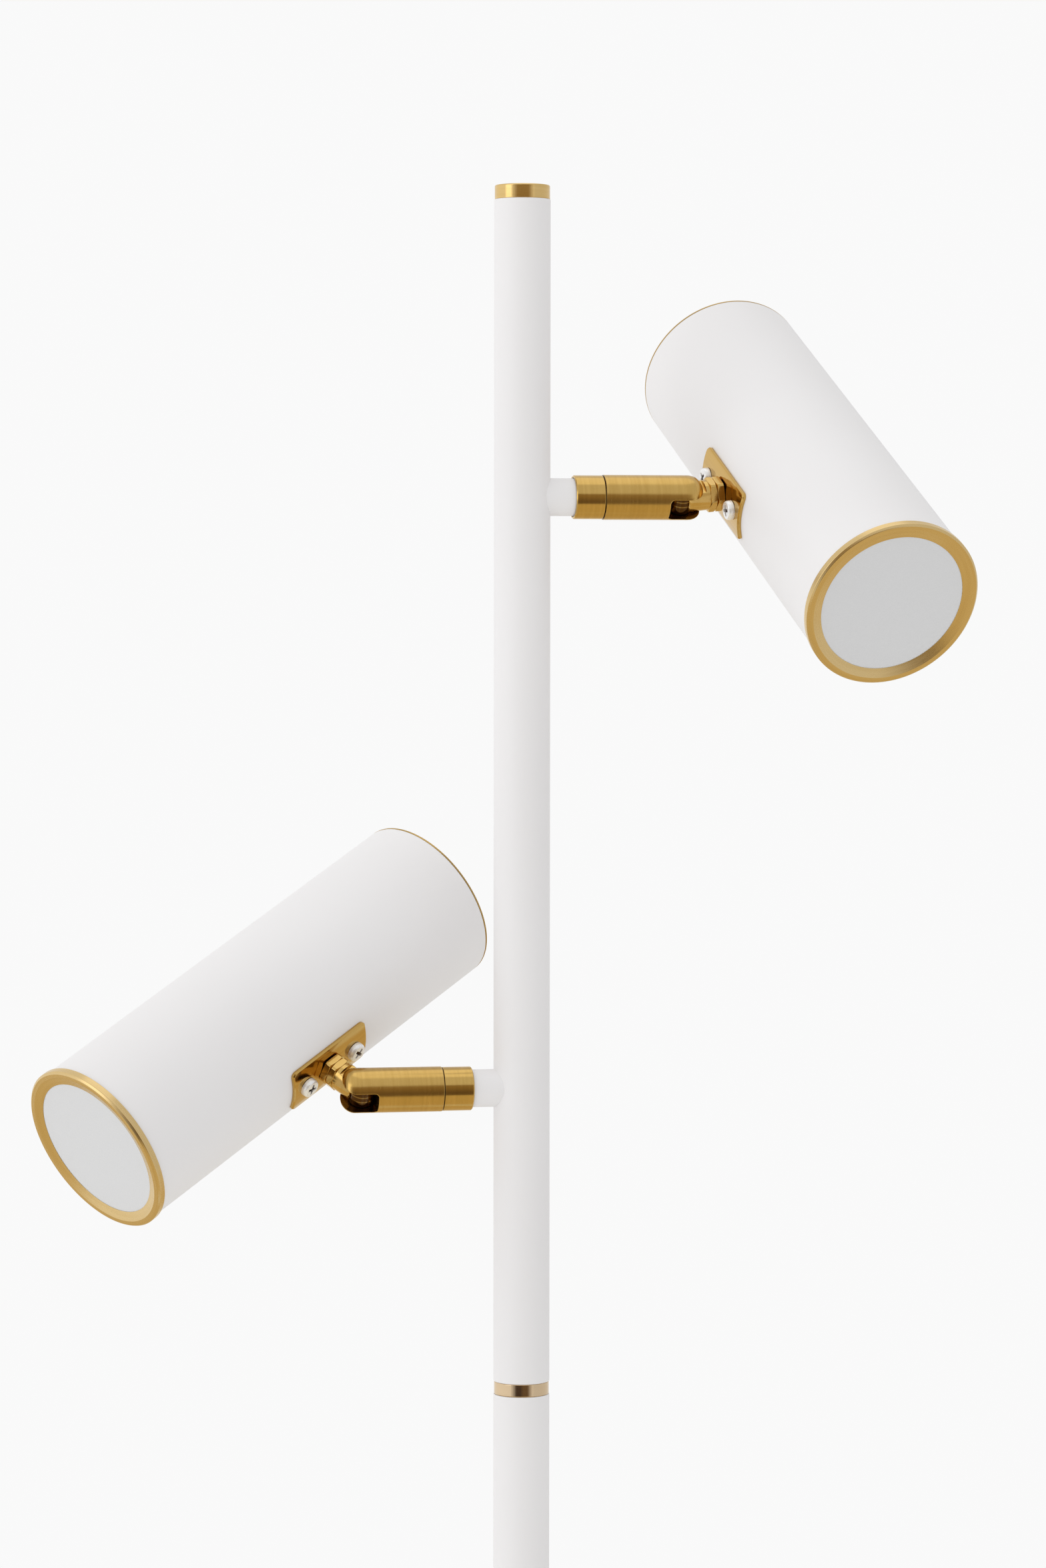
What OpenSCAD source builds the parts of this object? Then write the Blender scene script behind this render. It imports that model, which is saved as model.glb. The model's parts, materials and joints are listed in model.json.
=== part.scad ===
// Free-standing floor lamp: a round weighted base, a slim pole screwed together from three
// tubes, and two tubular spot heads, each on a short brass arm that swivels and tilts.
// Millimetres, +Z up. The origin is the centre of the base's underside, on the floor.
// The upper arm points along +X and the lower arm along -X; the light shines towards -Y.

/* [Base] */
// Outside diameter of the round base
base_d = 250; // [200:1:320]
// Height of the base, floor to top face
base_h = 22; // [20:1:40]
// Sheet thickness of the base cover
cover_t = 1.5; // [1:0.1:2.5]
// Radius of the cover's rounded top edge
cover_edge_r = 3; // [1.5:0.5:6]
// Thickness of the pad under the base
pad_t = 2; // [1:0.5:4]
// Distance from the cover's outside to the pad's edge
pad_inset = 4; // [2:0.5:10]
// Bore of the cable inlet
inlet_bore_d = 6; // [4:0.5:8]
// Flange diameter of the cable inlet
inlet_flange_d = 12; // [11:0.5:16]

/* [Pole] */
// Outside diameter of the pole tubes
pole_d = 20; // [20:0.5:26]
// Wall of the pole tubes
pole_wall = 1.5; // [1:0.1:1.5]
// Length of each of the three pole tubes
tube_l = 420; // [380:5:520]
// Height of the brass rings between the tubes
ring_h = 4.6; // [3:0.1:10]
// How much smaller than the pole the rings and the cap are, on the diameter
ring_step = 0.4; // [0:0.1:1]
// Height of the brass top cap
cap_h = 5; // [3:0.5:12]
// Radius of the cap's rounded top edge
cap_edge_r = 0.5; // [0.3:0.1:2]
// Length of the threaded couplers inside the joints
coupler_l = 60; // [40:2:100]
// Length of the cap's plug inside the pole
cap_plug_l = 12; // [8:1:25]
// Diameter of the threaded rod that clamps the pole to the base
rod_d = 12; // [10:0.5:13]
// Diameter of the lead inside the pole
lead_d = 3.5; // [3:0.1:4]

/* [Arms] */
// Height of the upper arm below the top of its tube
arm_drop = 105; // [90:1:120]
// Vertical distance between the two arms
arm_pitch = 210; // [200:1:240]
// Diameter of the white stub on the pole
stub_d = 13.4; // [12:0.1:14]
// Distance from the pole axis to the outer end of the white stub
stub_end = 19.3; // [17:0.1:22]
// How far the collar's mouth reaches over the stub
collar_lap = 1; // [0.5:0.1:2]
// Diameter of the brass collar
collar_d = 15.6; // [15.2:0.1:17]
// Distance from the pole axis to the split between collar and swivel
split_x = 28.9; // [26:0.1:32]
// Diameter of the swivel barrel
barrel_d = 16; // [15.6:0.1:17]
// Length of the swivel barrel, split to nose
barrel_l = 36.2; // [34:0.1:42]
// Radius of the barrel's rounded nose
nose_r = 5.2; // [3:0.1:5.5]
// Distance from the pivot axis to the end of the nose
pivot_back = 7.7; // [7:0.1:9]
// Width of the slot in the barrel
slot_w = 8.8; // [7:0.1:9.2]
// Corner radius at the slot's closed end
slot_corner_r = 1.4; // [1:0.1:3]
// Diameter of the hollow swivel spindle
spindle_d = 8; // [7:0.1:8.4]
// Bore of the hollow swivel spindle
spindle_bore_d = 5; // [3:0.1:5.4]
// Width across the flats of the spindle's nut
spindle_nut_af = 11; // [10.5:0.1:11.4]
// Diameter of the pivot screw
pivot_d = 4; // [3:0.1:4.5]

/* [Tongue and bracket] */
// Diameter of the tongue's round hub
hub_d = 9.4; // [9:0.1:11]
// Diameter of the tongue's shank
shank_d = 10.8; // [10:0.1:11]
// How far the tongue's flats run past the reach of the barrel's ears
flats_gap = 0.3; // [0.2:0.1:0.6]
// Distance from the pivot to the tongue's hexagon
hexagon_x = 9.6; // [9.2:0.1:12]
// Thickness of the tongue's hexagon
hexagon_t = 2.6; // [1.5:0.1:4]
// Thickness of the lock nut
lock_nut_t = 2.6; // [1.5:0.1:5]
// Width across the flats of the hexagon and the lock nut
hexagon_af = 11.2; // [11.1:0.1:14]
// Diameter of the threaded stud
stud_d = 8; // [6:0.1:8.4]
// Length of the saddle bracket along the head
saddle_l = 37.2; // [34:0.1:50]
// Width of the saddle bracket across the head
saddle_w = 19; // [16:0.1:24]
// Sheet thickness of the saddle bracket
saddle_t = 1.4; // [1:0.1:2.5]
// Corner radius of the saddle bracket
saddle_corner_r = 2; // [0.5:0.1:4]
// Distance between the two bracket screws
screw_pitch = 24.2; // [23:0.1:27]
// Head diameter of the bracket screws
screw_head_d = 7; // [6:0.1:8]
// Head height of the bracket screws
screw_head_h = 2.3; // [1.5:0.1:3]
// Thread diameter of the bracket screws
screw_d = 4; // [3:0.1:4.5]
// Length of the bracket screws under the head
screw_l = 7; // [5:0.5:10]

/* [Heads] */
// Outside diameter of a head tube
head_d = 62; // [56:0.5:70]
// Wall of a head tube
head_wall = 1.5; // [1:0.1:1.8]
// Distance from the bracket centre to a head's front face
head_front = 86.3; // [82:0.1:110]
// Distance from the bracket centre to a head's rear face
head_rear = 84.9; // [82:0.1:110]
// Outside diameter of the front ring
front_ring_d = 63.5; // [62.5:0.1:66]
// Height of the front ring outside the tube
front_ring_h = 3; // [2:0.1:6]
// Diameter of the window in the front ring
window_d = 52.4; // [44:0.1:53]
// Thickness of the front ring's lip over the diffuser
lip_t = 1.2; // [0.6:0.1:2]
// Length of the ring's and the rear cap's sleeves inside the tube
sleeve_l = 10; // [6:0.5:14]
// Thickness of the diffuser
diffuser_t = 2; // [1:0.1:3]
// Thickness of the rear cap's edge that shows behind the tube
rear_edge_t = 0.7; // [0.5:0.1:3]
// Depth of the mixing cup behind the diffuser
cup_depth = 24; // [18:0.5:28]
// Length of the heat sink
sink_l = 36; // [25:1:38]
// Number of fins on the heat sink
sink_fins = 16; // [8:1:24]
// Length of the LED driver
driver_l = 34; // [20:1:38]

/* [Pose] */
// Turn of the upper swivel: how far the slot's mouth points down from level
upper_swivel = 42.7; // [-60:0.1:100]
// Tilt of the upper head from square to its arm
upper_tilt = 9.1; // [-40:0.1:42]
// Turn of the upper head about its stud, set when the lock nut is tightened
upper_twist = -12.2; // [-30:0.1:30]
// Turn of the lower swivel
lower_swivel = 39.1; // [-50:0.1:49]
// Tilt of the lower head
lower_tilt = 49.4; // [-60:0.1:60]
// Turn of the lower head about its stud
lower_twist = -4.5; // [-30:0.1:30]

/* [Hidden] */

// Roundness of every circle
$fn = 96;
// Radial clearance of a running fit, and the gap between faces that turn on each other
run = 0.1;
// Radial clearance between fixed pieces that fit together
fit = 0.05;
// Radial clearance of loosely held pieces
loose = 0.25;
// How far a cutter reaches past what it cuts
over = 1;

// The two arms: index of each in the lists below
UPPER = 0;
LOWER = 1;
swivel_angle = [upper_swivel, lower_swivel];
tilt_angle = [upper_tilt, lower_tilt];
twist_angle = [upper_twist, lower_twist];

// Colours
white_paint = [0.93, 0.92, 0.91];
satin_brass = [0.76, 0.62, 0.36];
pale_brass = [0.86, 0.76, 0.58];
zinc = [0.78, 0.79, 0.80];
iron = [0.30, 0.30, 0.31];
black_rubber = [0.08, 0.08, 0.08];
opal = [0.90, 0.90, 0.90];
bright_aluminium = [0.80, 0.81, 0.82];

// Heights along the pole
foot_ring_z = base_h;
tube_z = [for (i = [0:2]) base_h + ring_h + i * (tube_l + ring_h)];
pole_top = tube_z[2] + tube_l;
arm_z = [pole_top - arm_drop, pole_top - arm_drop - arm_pitch];
pole_bore_d = pole_d - 2 * pole_wall;
ring_d = pole_d - ring_step;
plug_d = pole_bore_d - 2 * fit;

// Inside the base
cover_skirt_z = 0.75 * pad_t;
weight_r = base_d / 2 - cover_t - loose;
weight_top = base_h - cover_t - fit;
nut_pocket_r = 14;
pocket_roof_t = 5.4;
nut_pocket_top = weight_top - pocket_roof_t;
base_washer_t = 2;
base_washer_gap = 2;
base_nut_t = 5;
base_nut_shoulder = 3;
base_nut_af = rod_d + 2 * base_nut_shoulder;
rod_z = nut_pocket_top - base_washer_t - base_nut_t;
lead_z = pad_t + lead_d / 2 + run;
bend_in_rod = 1.8;
lead_bend_r = min(rod_z + bend_in_rod - lead_z, nut_pocket_r / 2);
rod_bore_d = lead_d + 2;
foot_plug_l = coupler_l / 2;
block_size = [30, 18, 10];
block_inset = 38;
block_hole_depth = 4;
block_y = base_d / 2 - block_inset;
pocket_gap = 1;
inlet_z = base_h / 2;
inlet_body_d = inlet_flange_d - 3;
inlet_flange_t = 2;
inlet_l = 9;
channel_w = lead_d + 3;
lead_past_arm = 24;
lead_top = arm_z[UPPER] + lead_past_arm;
splice_d = 9;
splice_l = 20;

// Along an arm, from the pole axis outwards
start_x = split_x + run;
nose_x = start_x + barrel_l;
nose_flat_r = barrel_d / 2 - nose_r;
pivot_x = nose_x - pivot_back;
slot_x = pivot_x - hub_d / 2 - 3 * run;
edge_break = 0.3;
washer_h = 3.6;
washer_in_x = pole_bore_d / 2 - washer_h;
washer_face_r = 6;
spindle_nut_t = 2.3;
spindle_in_x = washer_in_x - run - spindle_nut_t;
slot_wall = 6;
spindle_out_x = slot_x - slot_wall;
stub_bore_d = spindle_d + 2 * run;

// How far an ear's inner face reaches from the pivot, sampled round the nose
nose_arc = [for (a = [0:5:90]) [pivot_back - nose_r * (1 - sin(a)), nose_flat_r + nose_r * cos(a)]];
ear_reach = max([for (p = nose_arc) norm([p[0], sqrt(max(0, pow(p[1], 2) - pow(slot_w / 2, 2)))])]);

// Along a tongue, from the pivot outwards
tongue_t = slot_w - 2 * run;
hub_edge_r = slot_corner_r - run;
flats_start = 1.5;
flats_end = ear_reach + flats_gap;
lock_nut_x = hexagon_x + hexagon_t + fit;
saddle_x = lock_nut_x + lock_nut_t + fit;
head_x = saddle_x + saddle_t + head_d / 2;
head_bore_r = head_d / 2 - head_wall;
stud_nut_t = 3;
stud_nut_face = head_x - sqrt(pow(head_bore_r, 2) - pow(hexagon_af / 2, 2)) + fit;
stud_end = stud_nut_face + stud_nut_t + 1;
pivot_head_step = 1.2;
pivot_head_d = pivot_d + 2 * pivot_head_step;
pivot_head_t = 1.6;
pivot_head_top = sqrt(pow(barrel_d / 2, 2) - pow(pivot_head_d / 2 + fit, 2)) - fit;
pivot_end_wall = 1;
pivot_tip = barrel_d / 2 - pivot_end_wall;

// Along a head, from the bracket centre towards the front
ring_back = head_front - front_ring_h;
tube_back = -head_rear + rear_edge_t;
sleeve_r = head_bore_r - fit;
window_r = window_d / 2;
seat_r = window_r + (sleeve_r - window_r) / 3;
diffuser_r = seat_r - fit;
window_bevel = lip_t * 2 / 3;
ring_bevel = 0.75;
diffuser_front = head_front - lip_t - fit;
cup_front = diffuser_front - diffuser_t - fit;
cup_mouth_r = window_r - 1;
cup_wall = (diffuser_r - cup_mouth_r) / 2;
cup_throat_r = 10;
cup_rim_t = 1.5;
board_front = cup_front - cup_depth;
board_t = 1.6;
board_r = 22;
chip_r = 8;
chip_t = 0.8;
sink_front = board_front - board_t - fit;
sink_plate_t = 5;
sink_core_r = 9;
fin_t = 1.2;
inner_r = head_bore_r - loose;
wire_room = 22;
driver_back = tube_back + wire_room;
lug_size = [24, 12, 8];
rear_disc_t = 3;
rear_rim_t = 2;

// ---- frames ----

// An arm's fixed frame: +X runs from the pole axis out along the arm
module arm_frame(i) {
    translate([0, 0, arm_z[i]]) rotate([0, 0, i == UPPER ? 0 : 180]) children();
}

// Turns with the swivel: +X out along the arm, +Y out of the slot's mouth, +Z the pivot axis
module swivel_frame(i) {
    translate([0, 0, arm_z[i]])
        rotate([swivel_angle[i] + (i == UPPER ? 180 : 0), 0, 0])
            rotate([0, 0, i == UPPER ? 0 : 180]) children();
}

// Tilts with the head: the pivot is the origin and +X runs out along the shank
module tilt_frame(i) {
    swivel_frame(i) translate([pivot_x, 0, 0]) rotate([0, 0, -tilt_angle[i]]) children();
}

// As tilt_frame, turned about the stud so that +Y is the way the light shines
module bracket_frame(i) {
    tilt_frame(i) rotate([twist_angle[i], 0, 0]) children();
}

// The head's own axis, from the bracket centre towards the front, is +Z here
module head_frame(i) {
    bracket_frame(i) translate([head_x, 0, 0]) rotate([-90, 0, 0]) children();
}

// A cylinder along +X from x0 to x1
module rod_x(d, x0, x1, sides = $fn) {
    translate([x0, 0, 0]) rotate([0, 90, 0]) cylinder(d = d, h = x1 - x0, $fn = sides);
}

// A hexagon along +X, with corners at +Y and -Y
module hexagon_x_bar(af, x0, x1) {
    rotate([30, 0, 0]) rod_x(af / cos(30), x0, x1, 6);
}

// A cylindrical sleeve along +Z
module sleeve(d, bore, h) {
    difference() {
        cylinder(d = d, h = h);
        translate([0, 0, -over]) cylinder(d = bore, h = h + 2 * over);
    }
}

// ---- base ----

module base_cover() color(white_paint) {
    inlet_hole_d = inlet_body_d + 2 * fit;
    difference() {
        union() {
            translate([0, 0, cover_skirt_z])
                cylinder(d = base_d, h = base_h - cover_edge_r - cover_skirt_z);
            translate([0, 0, base_h - cover_edge_r]) {
                rotate_extrude() translate([base_d / 2 - cover_edge_r, 0]) circle(cover_edge_r);
                cylinder(r = base_d / 2 - cover_edge_r, h = cover_edge_r);
            }
        }
        translate([0, 0, cover_skirt_z - over])
            cylinder(r = base_d / 2 - cover_t,
                     h = base_h - cover_edge_r - cover_skirt_z + over);
        translate([0, 0, base_h - cover_edge_r - over])
            cylinder(r = base_d / 2 - cover_edge_r, h = cover_edge_r - cover_t + over);
        cylinder(d = rod_d + 2 * fit, h = base_h + over);
        translate([0, base_d / 2 + over, inlet_z]) rotate([90, 0, 0])
            cylinder(d = inlet_hole_d, h = cover_t + 2 * over);
    }
}

module base_weight() color(iron) {
    // keeps the weight's corner clear of the cover's rounded edge
    chamfer = 2 * (cover_edge_r - cover_t) + edge_break;
    passage_d = inlet_body_d + 2 * loose;
    difference() {
        union() {
            translate([0, 0, pad_t + fit])
                cylinder(r = weight_r, h = weight_top - pad_t - fit - chamfer);
            translate([0, 0, weight_top - chamfer])
                cylinder(r1 = weight_r, r2 = weight_r - chamfer, h = chamfer);
        }
        translate([0, 0, -over]) cylinder(r = nut_pocket_r, h = nut_pocket_top + over);
        cylinder(d = rod_d + 2 * fit, h = base_h + over);
        // channel for the lead, from the nut pocket to the terminal pocket
        translate([-channel_w / 2, 0, -over])
            cube([channel_w, block_y, lead_z + lead_d / 2 + loose + over]);
        // pocket for the terminal block
        translate([-block_size[0] / 2 - pocket_gap, block_y - block_size[1] / 2 - pocket_gap,
                   -over])
            cube([block_size[0] + 2 * pocket_gap, block_size[1] + 2 * pocket_gap,
                  pad_t + block_size[2] + pocket_gap + over]);
        // passage from the inlet to the terminal pocket
        translate([0, base_d / 2, inlet_z]) rotate([90, 0, 0])
            cylinder(d = passage_d, h = base_d / 2 - block_y);
    }
}

module base_pad() color(black_rubber) {
    cylinder(r = base_d / 2 - pad_inset, h = pad_t);
}

module base_washer() color(zinc) {
    translate([0, 0, nut_pocket_top - base_washer_t])
        sleeve(2 * (nut_pocket_r - base_washer_gap), rod_d + 2 * fit, base_washer_t - fit);
}

module base_nut() color(zinc) {
    difference() {
        translate([0, 0, rod_z]) cylinder(d = base_nut_af / cos(30), h = base_nut_t, $fn = 6);
        translate([0, 0, rod_z - over]) cylinder(d = rod_d + 2 * fit, h = base_nut_t + 2 * over);
    }
}

module base_rod() color(zinc) {
    translate([0, 0, rod_z])
        sleeve(rod_d, rod_bore_d, tube_z[0] + foot_plug_l - rod_z);
}

module cable_inlet() color(black_rubber) {
    translate([0, base_d / 2, inlet_z]) rotate([90, 0, 0])
        difference() {
            union() {
                translate([0, 0, -inlet_flange_t]) cylinder(d = inlet_flange_d, h = inlet_flange_t);
                cylinder(d = inlet_body_d, h = inlet_l - inlet_flange_t);
            }
            translate([0, 0, -inlet_flange_t - over])
                cylinder(d = inlet_bore_d, h = inlet_l + 2 * over);
        }
}

module terminal_block() color(white_paint) {
    screw_hole_d = 3.4;
    hole_depth = 3;
    difference() {
        translate([-block_size[0] / 2, block_y - block_size[1] / 2, pad_t])
            cube(block_size);
        for (x = [-1:1], y = [-1, 1])
            translate([x * block_size[0] / 3.2, block_y + y * block_size[1] / 4,
                       pad_t + block_size[2] - hole_depth])
                cylinder(d = screw_hole_d, h = hole_depth + over);
        // where the lead goes in
        translate([0, block_y - block_size[1] / 2 + block_hole_depth, lead_z])
            rotate([90, 0, 0]) cylinder(d = lead_d + 2 * fit, h = block_hole_depth + over);
    }
}

// Inside the base the lead lies along +Y; it bends up into the rod and climbs the pole
module internal_lead() color(black_rubber) {
    block_end = block_y - block_size[1] / 2 + block_hole_depth - fit;
    translate([0, block_end, lead_z]) rotate([90, 0, 0])
        cylinder(d = lead_d, h = block_end - lead_bend_r);
    translate([0, lead_bend_r, lead_z + lead_bend_r]) rotate([0, 90, 0]) rotate([0, 0, -90])
        rotate_extrude(angle = 90) translate([lead_bend_r, 0]) circle(d = lead_d);
    translate([0, 0, lead_z + lead_bend_r])
        cylinder(d = lead_d, h = lead_top - lead_z - lead_bend_r);
}

module lead_splice() color(opal) {
    edge_r = 1.5;
    translate([0, 0, lead_top + fit]) {
        cylinder(r1 = splice_d / 2 - edge_r, r2 = splice_d / 2, h = edge_r);
        translate([0, 0, edge_r]) cylinder(d = splice_d, h = splice_l - edge_r);
    }
}

// ---- pole ----

module pole_ring(z) {
    translate([0, 0, z]) sleeve(ring_d, plug_d + 2 * fit, ring_h);
}

module pole_tube(i) {
    translate([0, 0, tube_z[i]]) sleeve(pole_d, pole_bore_d, tube_l);
}

module coupler(z) {
    translate([0, 0, z + ring_h / 2 - coupler_l / 2])
        sleeve(plug_d, lead_d + 2 * loose, coupler_l);
}

module foot_ring() color(pale_brass) {
    translate([0, 0, foot_ring_z]) sleeve(ring_d, rod_d + 2 * fit, ring_h);
}

module foot_plug() color(zinc) {
    translate([0, 0, tube_z[0]]) sleeve(plug_d, rod_d + 2 * fit, foot_plug_l);
}

module pole_lower() color(white_paint) pole_tube(0);

module lower_joint_ring() color(pale_brass) pole_ring(tube_z[1] - ring_h);

module lower_coupler() color(zinc) coupler(tube_z[1] - ring_h);

module pole_middle() color(white_paint) pole_tube(1);

module upper_joint_ring() color(pale_brass) pole_ring(tube_z[2] - ring_h);

module upper_coupler() color(zinc) coupler(tube_z[2] - ring_h);

module pole_upper() color(white_paint) {
    difference() {
        pole_tube(2);
        for (i = [UPPER, LOWER]) arm_frame(i) rod_x(stub_bore_d, 0, pole_d);
    }
}

module top_cap() color(satin_brass) {
    translate([0, 0, pole_top]) {
        cylinder(d = ring_d, h = cap_h - cap_edge_r);
        translate([0, 0, cap_h - cap_edge_r]) {
            rotate_extrude() translate([ring_d / 2 - cap_edge_r, 0]) circle(cap_edge_r);
            cylinder(r = ring_d / 2 - cap_edge_r, h = cap_edge_r);
        }
        translate([0, 0, -cap_plug_l]) cylinder(d = plug_d, h = cap_plug_l);
    }
}

// ---- fixed half of an arm ----

module stub(i) color(white_paint) {
    difference() {
        arm_frame(i) rod_x(stub_d, 0, stub_end);
        translate([0, 0, arm_z[i] - stub_d]) cylinder(d = pole_d + 2 * fit, h = 2 * stub_d);
        arm_frame(i) rod_x(stub_bore_d, 0, stub_end + over);
    }
}

module collar(i) color(satin_brass) {
    mouth_x = stub_end - collar_lap;
    arm_frame(i) difference() {
        union() {
            rod_x(collar_d, mouth_x + edge_break, split_x - edge_break);
            rod_x(collar_d - 2 * edge_break, mouth_x, split_x);
        }
        rod_x(stub_d + 2 * loose, mouth_x - over, stub_end + fit);
        rod_x(stub_bore_d, mouth_x, split_x + over);
    }
}

// Inside the pole: flat towards the nut, curved to the tube's bore on the other side
module saddle_washer(i) color(zinc) {
    difference() {
        intersection() {
            arm_frame(i) rod_x(2 * washer_face_r, washer_in_x, pole_d / 2);
            translate([0, 0, arm_z[i] - washer_face_r - over])
                cylinder(d = plug_d, h = 2 * (washer_face_r + over));
        }
        arm_frame(i) rod_x(stub_bore_d, 0, pole_d);
    }
}

// ---- swivelling half of an arm ----

// The slot as a flat plate with rounded corners at its closed end
module slot_cutter() {
    rotate([90, 0, 0]) linear_extrude(height = 2 * barrel_d, center = true) {
        translate([slot_x + slot_corner_r, -slot_w / 2]) square([barrel_l, slot_w]);
        translate([slot_x, slot_corner_r - slot_w / 2])
            square([2 * slot_corner_r, slot_w - 2 * slot_corner_r]);
        for (y = [-1, 1])
            translate([slot_x + slot_corner_r, y * (slot_w / 2 - slot_corner_r)])
                circle(slot_corner_r);
    }
}

// Half of the barrel's section: radius across, distance from the split upwards
module barrel_section() {
    square([barrel_d / 2 - edge_break, barrel_l - nose_r]);
    translate([0, edge_break]) square([barrel_d / 2, barrel_l - nose_r - edge_break]);
    square([nose_flat_r, barrel_l]);
    intersection() {
        translate([nose_flat_r, barrel_l - nose_r]) circle(nose_r);
        square([barrel_d, barrel_l]);
    }
}

// side is the ear that the pivot screw goes in from: +1 or -1 along the pivot axis
module barrel(i, side) color(satin_brass) {
    swivel_frame(i) difference() {
        translate([start_x, 0, 0]) rotate([0, 90, 0]) rotate_extrude() barrel_section();
        slot_cutter();
        rod_x(spindle_d + 2 * fit, start_x - over, spindle_out_x + fit);
        rod_x(spindle_bore_d, start_x, slot_x + slot_corner_r);
        translate([pivot_x, 0, 0]) mirror([0, 0, side > 0 ? 0 : 1]) {
            translate([0, 0, -pivot_tip - fit])
                cylinder(d = pivot_d + 2 * fit, h = 2 * pivot_tip);
            translate([0, 0, pivot_head_top - pivot_head_t - fit])
                cylinder(d = pivot_head_d + 2 * fit, h = barrel_d);
        }
    }
}

module spindle(i) color(zinc) {
    swivel_frame(i) difference() {
        rod_x(spindle_d, spindle_in_x, spindle_out_x);
        rod_x(spindle_bore_d, spindle_in_x - over, spindle_out_x + over);
    }
}

module spindle_nut(i) color(zinc) {
    swivel_frame(i) difference() {
        hexagon_x_bar(spindle_nut_af, spindle_in_x, washer_in_x - run);
        rod_x(spindle_d + 2 * fit, spindle_in_x - over, washer_in_x + over);
    }
}

module pivot_screw(i, side) color(zinc) {
    drive_d = 2.5;
    drive_depth = 1;
    swivel_frame(i) translate([pivot_x, 0, 0]) mirror([0, 0, side > 0 ? 0 : 1])
        difference() {
            union() {
                translate([0, 0, -pivot_tip])
                    cylinder(d = pivot_d, h = pivot_tip + pivot_head_top - over / 2);
                translate([0, 0, pivot_head_top - pivot_head_t])
                    cylinder(d = pivot_head_d, h = pivot_head_t);
            }
            translate([0, 0, pivot_head_top - drive_depth])
                cylinder(d = drive_d, h = drive_depth + over, $fn = 6);
        }
}

// ---- tilting piece and its fixings ----

// Half of the hub's section, with its rims rounded to clear the corners of the slot
module hub_section() {
    square([hub_d / 2 - hub_edge_r, tongue_t / 2]);
    square([hub_d / 2, tongue_t / 2 - hub_edge_r]);
    translate([hub_d / 2 - hub_edge_r, tongue_t / 2 - hub_edge_r]) circle(hub_edge_r);
}

module tongue(i) color(satin_brass) {
    difference() {
        union() {
            tilt_frame(i) {
                for (up = [0, 1]) mirror([0, 0, up]) rotate_extrude() intersection() {
                    hub_section();
                    square([hub_d, tongue_t]);
                }
                intersection() {
                    rod_x(shank_d, flats_start, flats_end + over);
                    translate([0, -shank_d, -tongue_t / 2])
                        cube([flats_end + over / 2, 2 * shank_d, tongue_t]);
                }
            }
            tilt_frame(i) rod_x(shank_d, flats_end, hexagon_x + over / 2);
            bracket_frame(i) hexagon_x_bar(hexagon_af, hexagon_x, hexagon_x + hexagon_t);
            bracket_frame(i) rod_x(stud_d, hexagon_x, stud_end);
        }
        tilt_frame(i) cylinder(d = pivot_d + 2 * run, h = 2 * barrel_d, center = true);
    }
}

module lock_nut(i) color(satin_brass) {
    bracket_frame(i) difference() {
        hexagon_x_bar(hexagon_af, lock_nut_x, lock_nut_x + lock_nut_t);
        rod_x(stud_d + 2 * fit, lock_nut_x - over, saddle_x + over);
    }
}

// Outline of the bracket seen square on: a rectangle with rounded corners
module saddle_outline() {
    long_half = saddle_l / 2 - saddle_corner_r;
    short_half = saddle_w / 2 - saddle_corner_r;
    square([2 * short_half, saddle_l], center = true);
    square([saddle_w, 2 * long_half], center = true);
    for (x = [-1, 1], y = [-1, 1])
        translate([x * short_half, y * long_half]) circle(saddle_corner_r);
}

module bracket_holes(stud_hole_d, screw_hole_d) {
    rod_x(stud_hole_d, 0, head_x);
    for (y = [-1, 1]) translate([0, y * screw_pitch / 2, 0]) rod_x(screw_hole_d, 0, head_x);
}

module saddle(i) color(satin_brass) {
    bracket_frame(i) difference() {
        intersection() {
            translate([head_x, 0, 0]) rotate([90, 0, 0]) difference() {
                cylinder(r = head_d / 2 + saddle_t, h = 2 * saddle_l, center = true);
                cylinder(r = head_d / 2 + fit / 2, h = 2 * saddle_l + over, center = true);
            }
            rotate([0, 90, 0]) linear_extrude(height = head_x) saddle_outline();
        }
        bracket_holes(stud_d + 2 * fit, screw_d + 2 * fit);
    }
}

module saddle_screws(i) color(zinc) {
    head_top_d = 0.62 * screw_head_d;
    rim_h = 0.45 * screw_head_h;
    cross_w = 0.9;
    cross_l = 0.5 * screw_head_d;
    cross_depth = 0.5 * screw_head_h;
    under_x = saddle_x - fit;
    bracket_frame(i) for (y = [-1, 1]) translate([under_x, y * screw_pitch / 2, 0])
        difference() {
            union() {
                rod_x(screw_head_d, -rim_h, 0);
                translate([-screw_head_h, 0, 0]) rotate([0, 90, 0])
                    cylinder(d1 = head_top_d, d2 = screw_head_d, h = screw_head_h - rim_h);
                rod_x(screw_d, -rim_h, screw_l);
            }
            for (turn = [0, 90]) rotate([turn, 0, 0])
                translate([-screw_head_h - over, -cross_l / 2, -cross_w / 2])
                    cube([cross_depth + over, cross_l, cross_w]);
        }
}

module stud_nut(i) color(zinc) {
    bracket_frame(i) difference() {
        hexagon_x_bar(hexagon_af, stud_nut_face, stud_nut_face + stud_nut_t);
        rod_x(stud_d + 2 * fit, stud_nut_face - over, stud_end + over);
    }
}

// ---- head ----

module head_tube(i) color(white_paint) {
    difference() {
        head_frame(i) translate([0, 0, tube_back])
            sleeve(head_d, 2 * head_bore_r, ring_back - tube_back);
        bracket_frame(i) bracket_holes(stud_d + 2 * fit, screw_d + 2 * fit);
    }
}

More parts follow.
